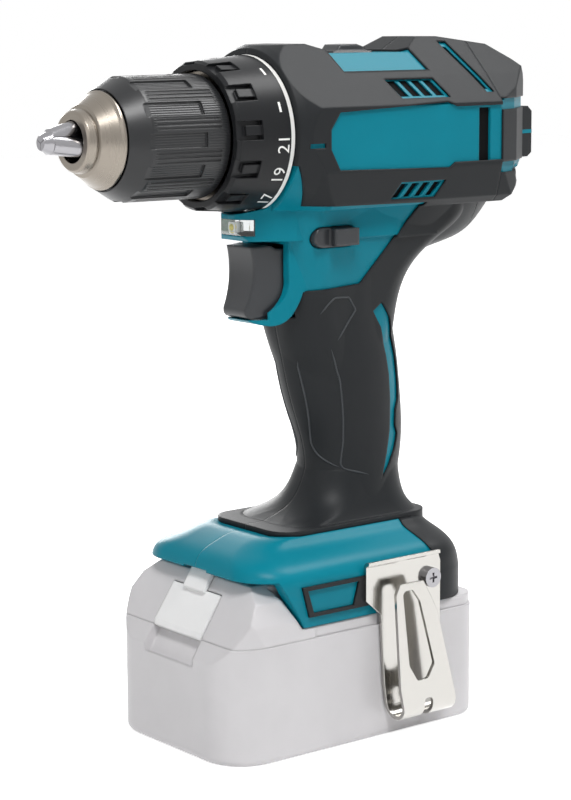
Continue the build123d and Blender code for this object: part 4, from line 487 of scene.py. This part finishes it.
# Lamp: a clear polycarbonate lens, moulded in a polished die and set in the housing below the torque ring.
# Slight waves of the moulding bend what shows through it.
LENS_WAVE_MM = 1.5
lens, lens_tree = empty_material("clear_polycarbonate")
lens_place = node(lens_tree, "TexCoord", {}).outputs["Object"]
lens_wave = node(lens_tree, "TexNoise", {"Vector": lens_place, "Scale": 1 / (LENS_WAVE_MM * MM)})
lens_bump = node(lens_tree, "Bump", {
    "Height": lens_wave.outputs["Fac"], "Distance": 0.02 * MM, "Strength": 0.3,
})
lens_shader = node(lens_tree, "BsdfPrincipled", {
    "Base Color": linear("#F4F8F8"), "Roughness": 0.06, "IOR": 1.58, "Transmission Weight": 1.0,
    "Normal": lens_bump.outputs["Normal"],
})
node(lens_tree, "OutputMaterial", {"Surface": lens_shader.outputs["BSDF"]})
dress(lens, "lamp_lens")

# Diode: a white ceramic package with a dome of yellow phosphor, potted in the back of the lens.
# Through the lens it shows as a pale square with a yellow spot.
LAMP_AXIS_Z = 183.8
PACKAGE_PROFILE = [(-24.2, 0), (-24.2, 1.9), (-25.4, 1.9), (-25.5, 1.75), (-25.5, 0)]
DOME_PROFILE = [(-25.45, 1.3), (-25.9, 1.15), (-26.3, 0.75), (-26.45, 0)]


def turned_piece(name, profile, power, material):
    """Profile of (x, radius) turned about the lamp's line; a power below one presses circles to squares."""
    profile = np.array(profile)
    turn = np.linspace(0, 2 * np.pi, 64, endpoint=False)
    across = np.sign(np.cos(turn)) * np.abs(np.cos(turn)) ** power
    above = np.sign(np.sin(turn)) * np.abs(np.sin(turn)) ** power
    points = np.stack([
        np.repeat(profile[:, :1], len(turn), axis=1), profile[:, 1:] * across,
        LAMP_AXIS_Z + profile[:, 1:] * above,
    ], axis=-1)
    surface(name, points * MM, material, "housing", closed=True)


ceramic = moulded("white_ceramic", "#F0F1EE", roughness=0.4, grain_mm=0.4, depth_mm=0.01, edge_mm=0.1)
turned_piece("diode_package", PACKAGE_PROFILE, 0.35, ceramic)
phosphor = moulded("yellow_phosphor", "#E9D95A", roughness=0.3, grain_mm=0.4, depth_mm=0.01, edge_mm=0.1)
turned_piece("diode_dome", DOME_PROFILE, 1.0, phosphor)

# Studio floor: white backdrop paper under the drill.
# It is lifted to white for the camera and for reflections, and still takes the drill's shadow.
FLOOR_HALF = 3.0
PAPER_LIFT = 0.75
floor_corners = [(x * FLOOR_HALF, y * FLOOR_HALF, 0) for x, y in ((-1, -1), (1, -1), (1, 1), (-1, 1))]
floor_mesh = bpy.data.meshes.new("floor")
floor_mesh.from_pydata(floor_corners, [], [(0, 1, 2, 3)])
floor = bpy.data.objects.new("floor", floor_mesh)
bpy.context.scene.collection.objects.link(floor)
paper, paper_tree = empty_material("white_backdrop_paper")
paper_rays = node(paper_tree, "LightPath", {})
paper_shown = node(paper_tree, "Math", {
    0: paper_rays.outputs["Is Camera Ray"], 1: paper_rays.outputs["Is Glossy Ray"],
}, operation="MAXIMUM")
paper_glow = node(paper_tree, "Math", {0: paper_shown.outputs[0], 1: PAPER_LIFT}, operation="MULTIPLY")
paper_shader = node(paper_tree, "BsdfPrincipled", {
    "Base Color": linear("#F4F4F4"), "Roughness": 0.9, "Emission Color": (1, 1, 1, 1),
    "Emission Strength": paper_glow.outputs[0],
})
node(paper_tree, "OutputMaterial", {"Surface": paper_shader.outputs["BSDF"]})
floor_mesh.materials.append(paper)

# Studio surround: white for the camera, for reflections and through the clear lens.
# The light that it sends to the drill itself is dim, so the lamps set the level.
SURROUND_LIGHT = 0.18
world = bpy.data.worlds.new("studio")
bpy.context.scene.world = world
world.use_nodes = True
sky = world.node_tree
sky.nodes.clear()
rays = node(sky, "LightPath", {})
seen = node(sky, "Math", {
    0: rays.outputs["Is Camera Ray"], 1: rays.outputs["Is Transmission Ray"],
}, operation="MAXIMUM")
mirrored_too = node(sky, "Math", {0: seen.outputs[0], 1: rays.outputs["Is Glossy Ray"]}, operation="MAXIMUM")
bright = node(sky, "MapRange", {"Value": mirrored_too.outputs[0], "To Min": SURROUND_LIGHT, "To Max": 1.0})
surround = node(sky, "Background", {"Color": (1, 1, 1, 1), "Strength": bright.outputs["Result"]})
node(sky, "OutputWorld", {"Surface": surround.outputs["Background"]})

# Studio lamps: four soft boxes, all aimed at the middle of the drill.
# The top one stands where the upper facets mirror it, and the back one lights the far side.
LAMP_AIM = Vector((0, 0, 0.14))


def soft_lamp(name, place, width, watts):
    """Square area lamp at a place in metres, turned to the middle of the drill."""
    data = bpy.data.lights.new(name, "AREA")
    data.size = width
    data.energy = watts
    lamp = bpy.data.objects.new(name, data)
    aim = LAMP_AIM - Vector(place)
    lamp.matrix_world = Matrix.Translation(place) @ aim.to_track_quat("-Z", "Y").to_matrix().to_4x4()
    bpy.context.scene.collection.objects.link(lamp)


soft_lamp("key", (-0.45, -0.8, 1.5), width=0.5, watts=19)
soft_lamp("fill", (-1.3, -0.3, 0.6), width=0.8, watts=2)
soft_lamp("top", (0.8, -0.25, 1.4), width=0.6, watts=11)
soft_lamp("back", (0.6, 1.3, 0.4), width=0.5, watts=6)

bpy.context.scene.view_settings.view_transform = "Standard"
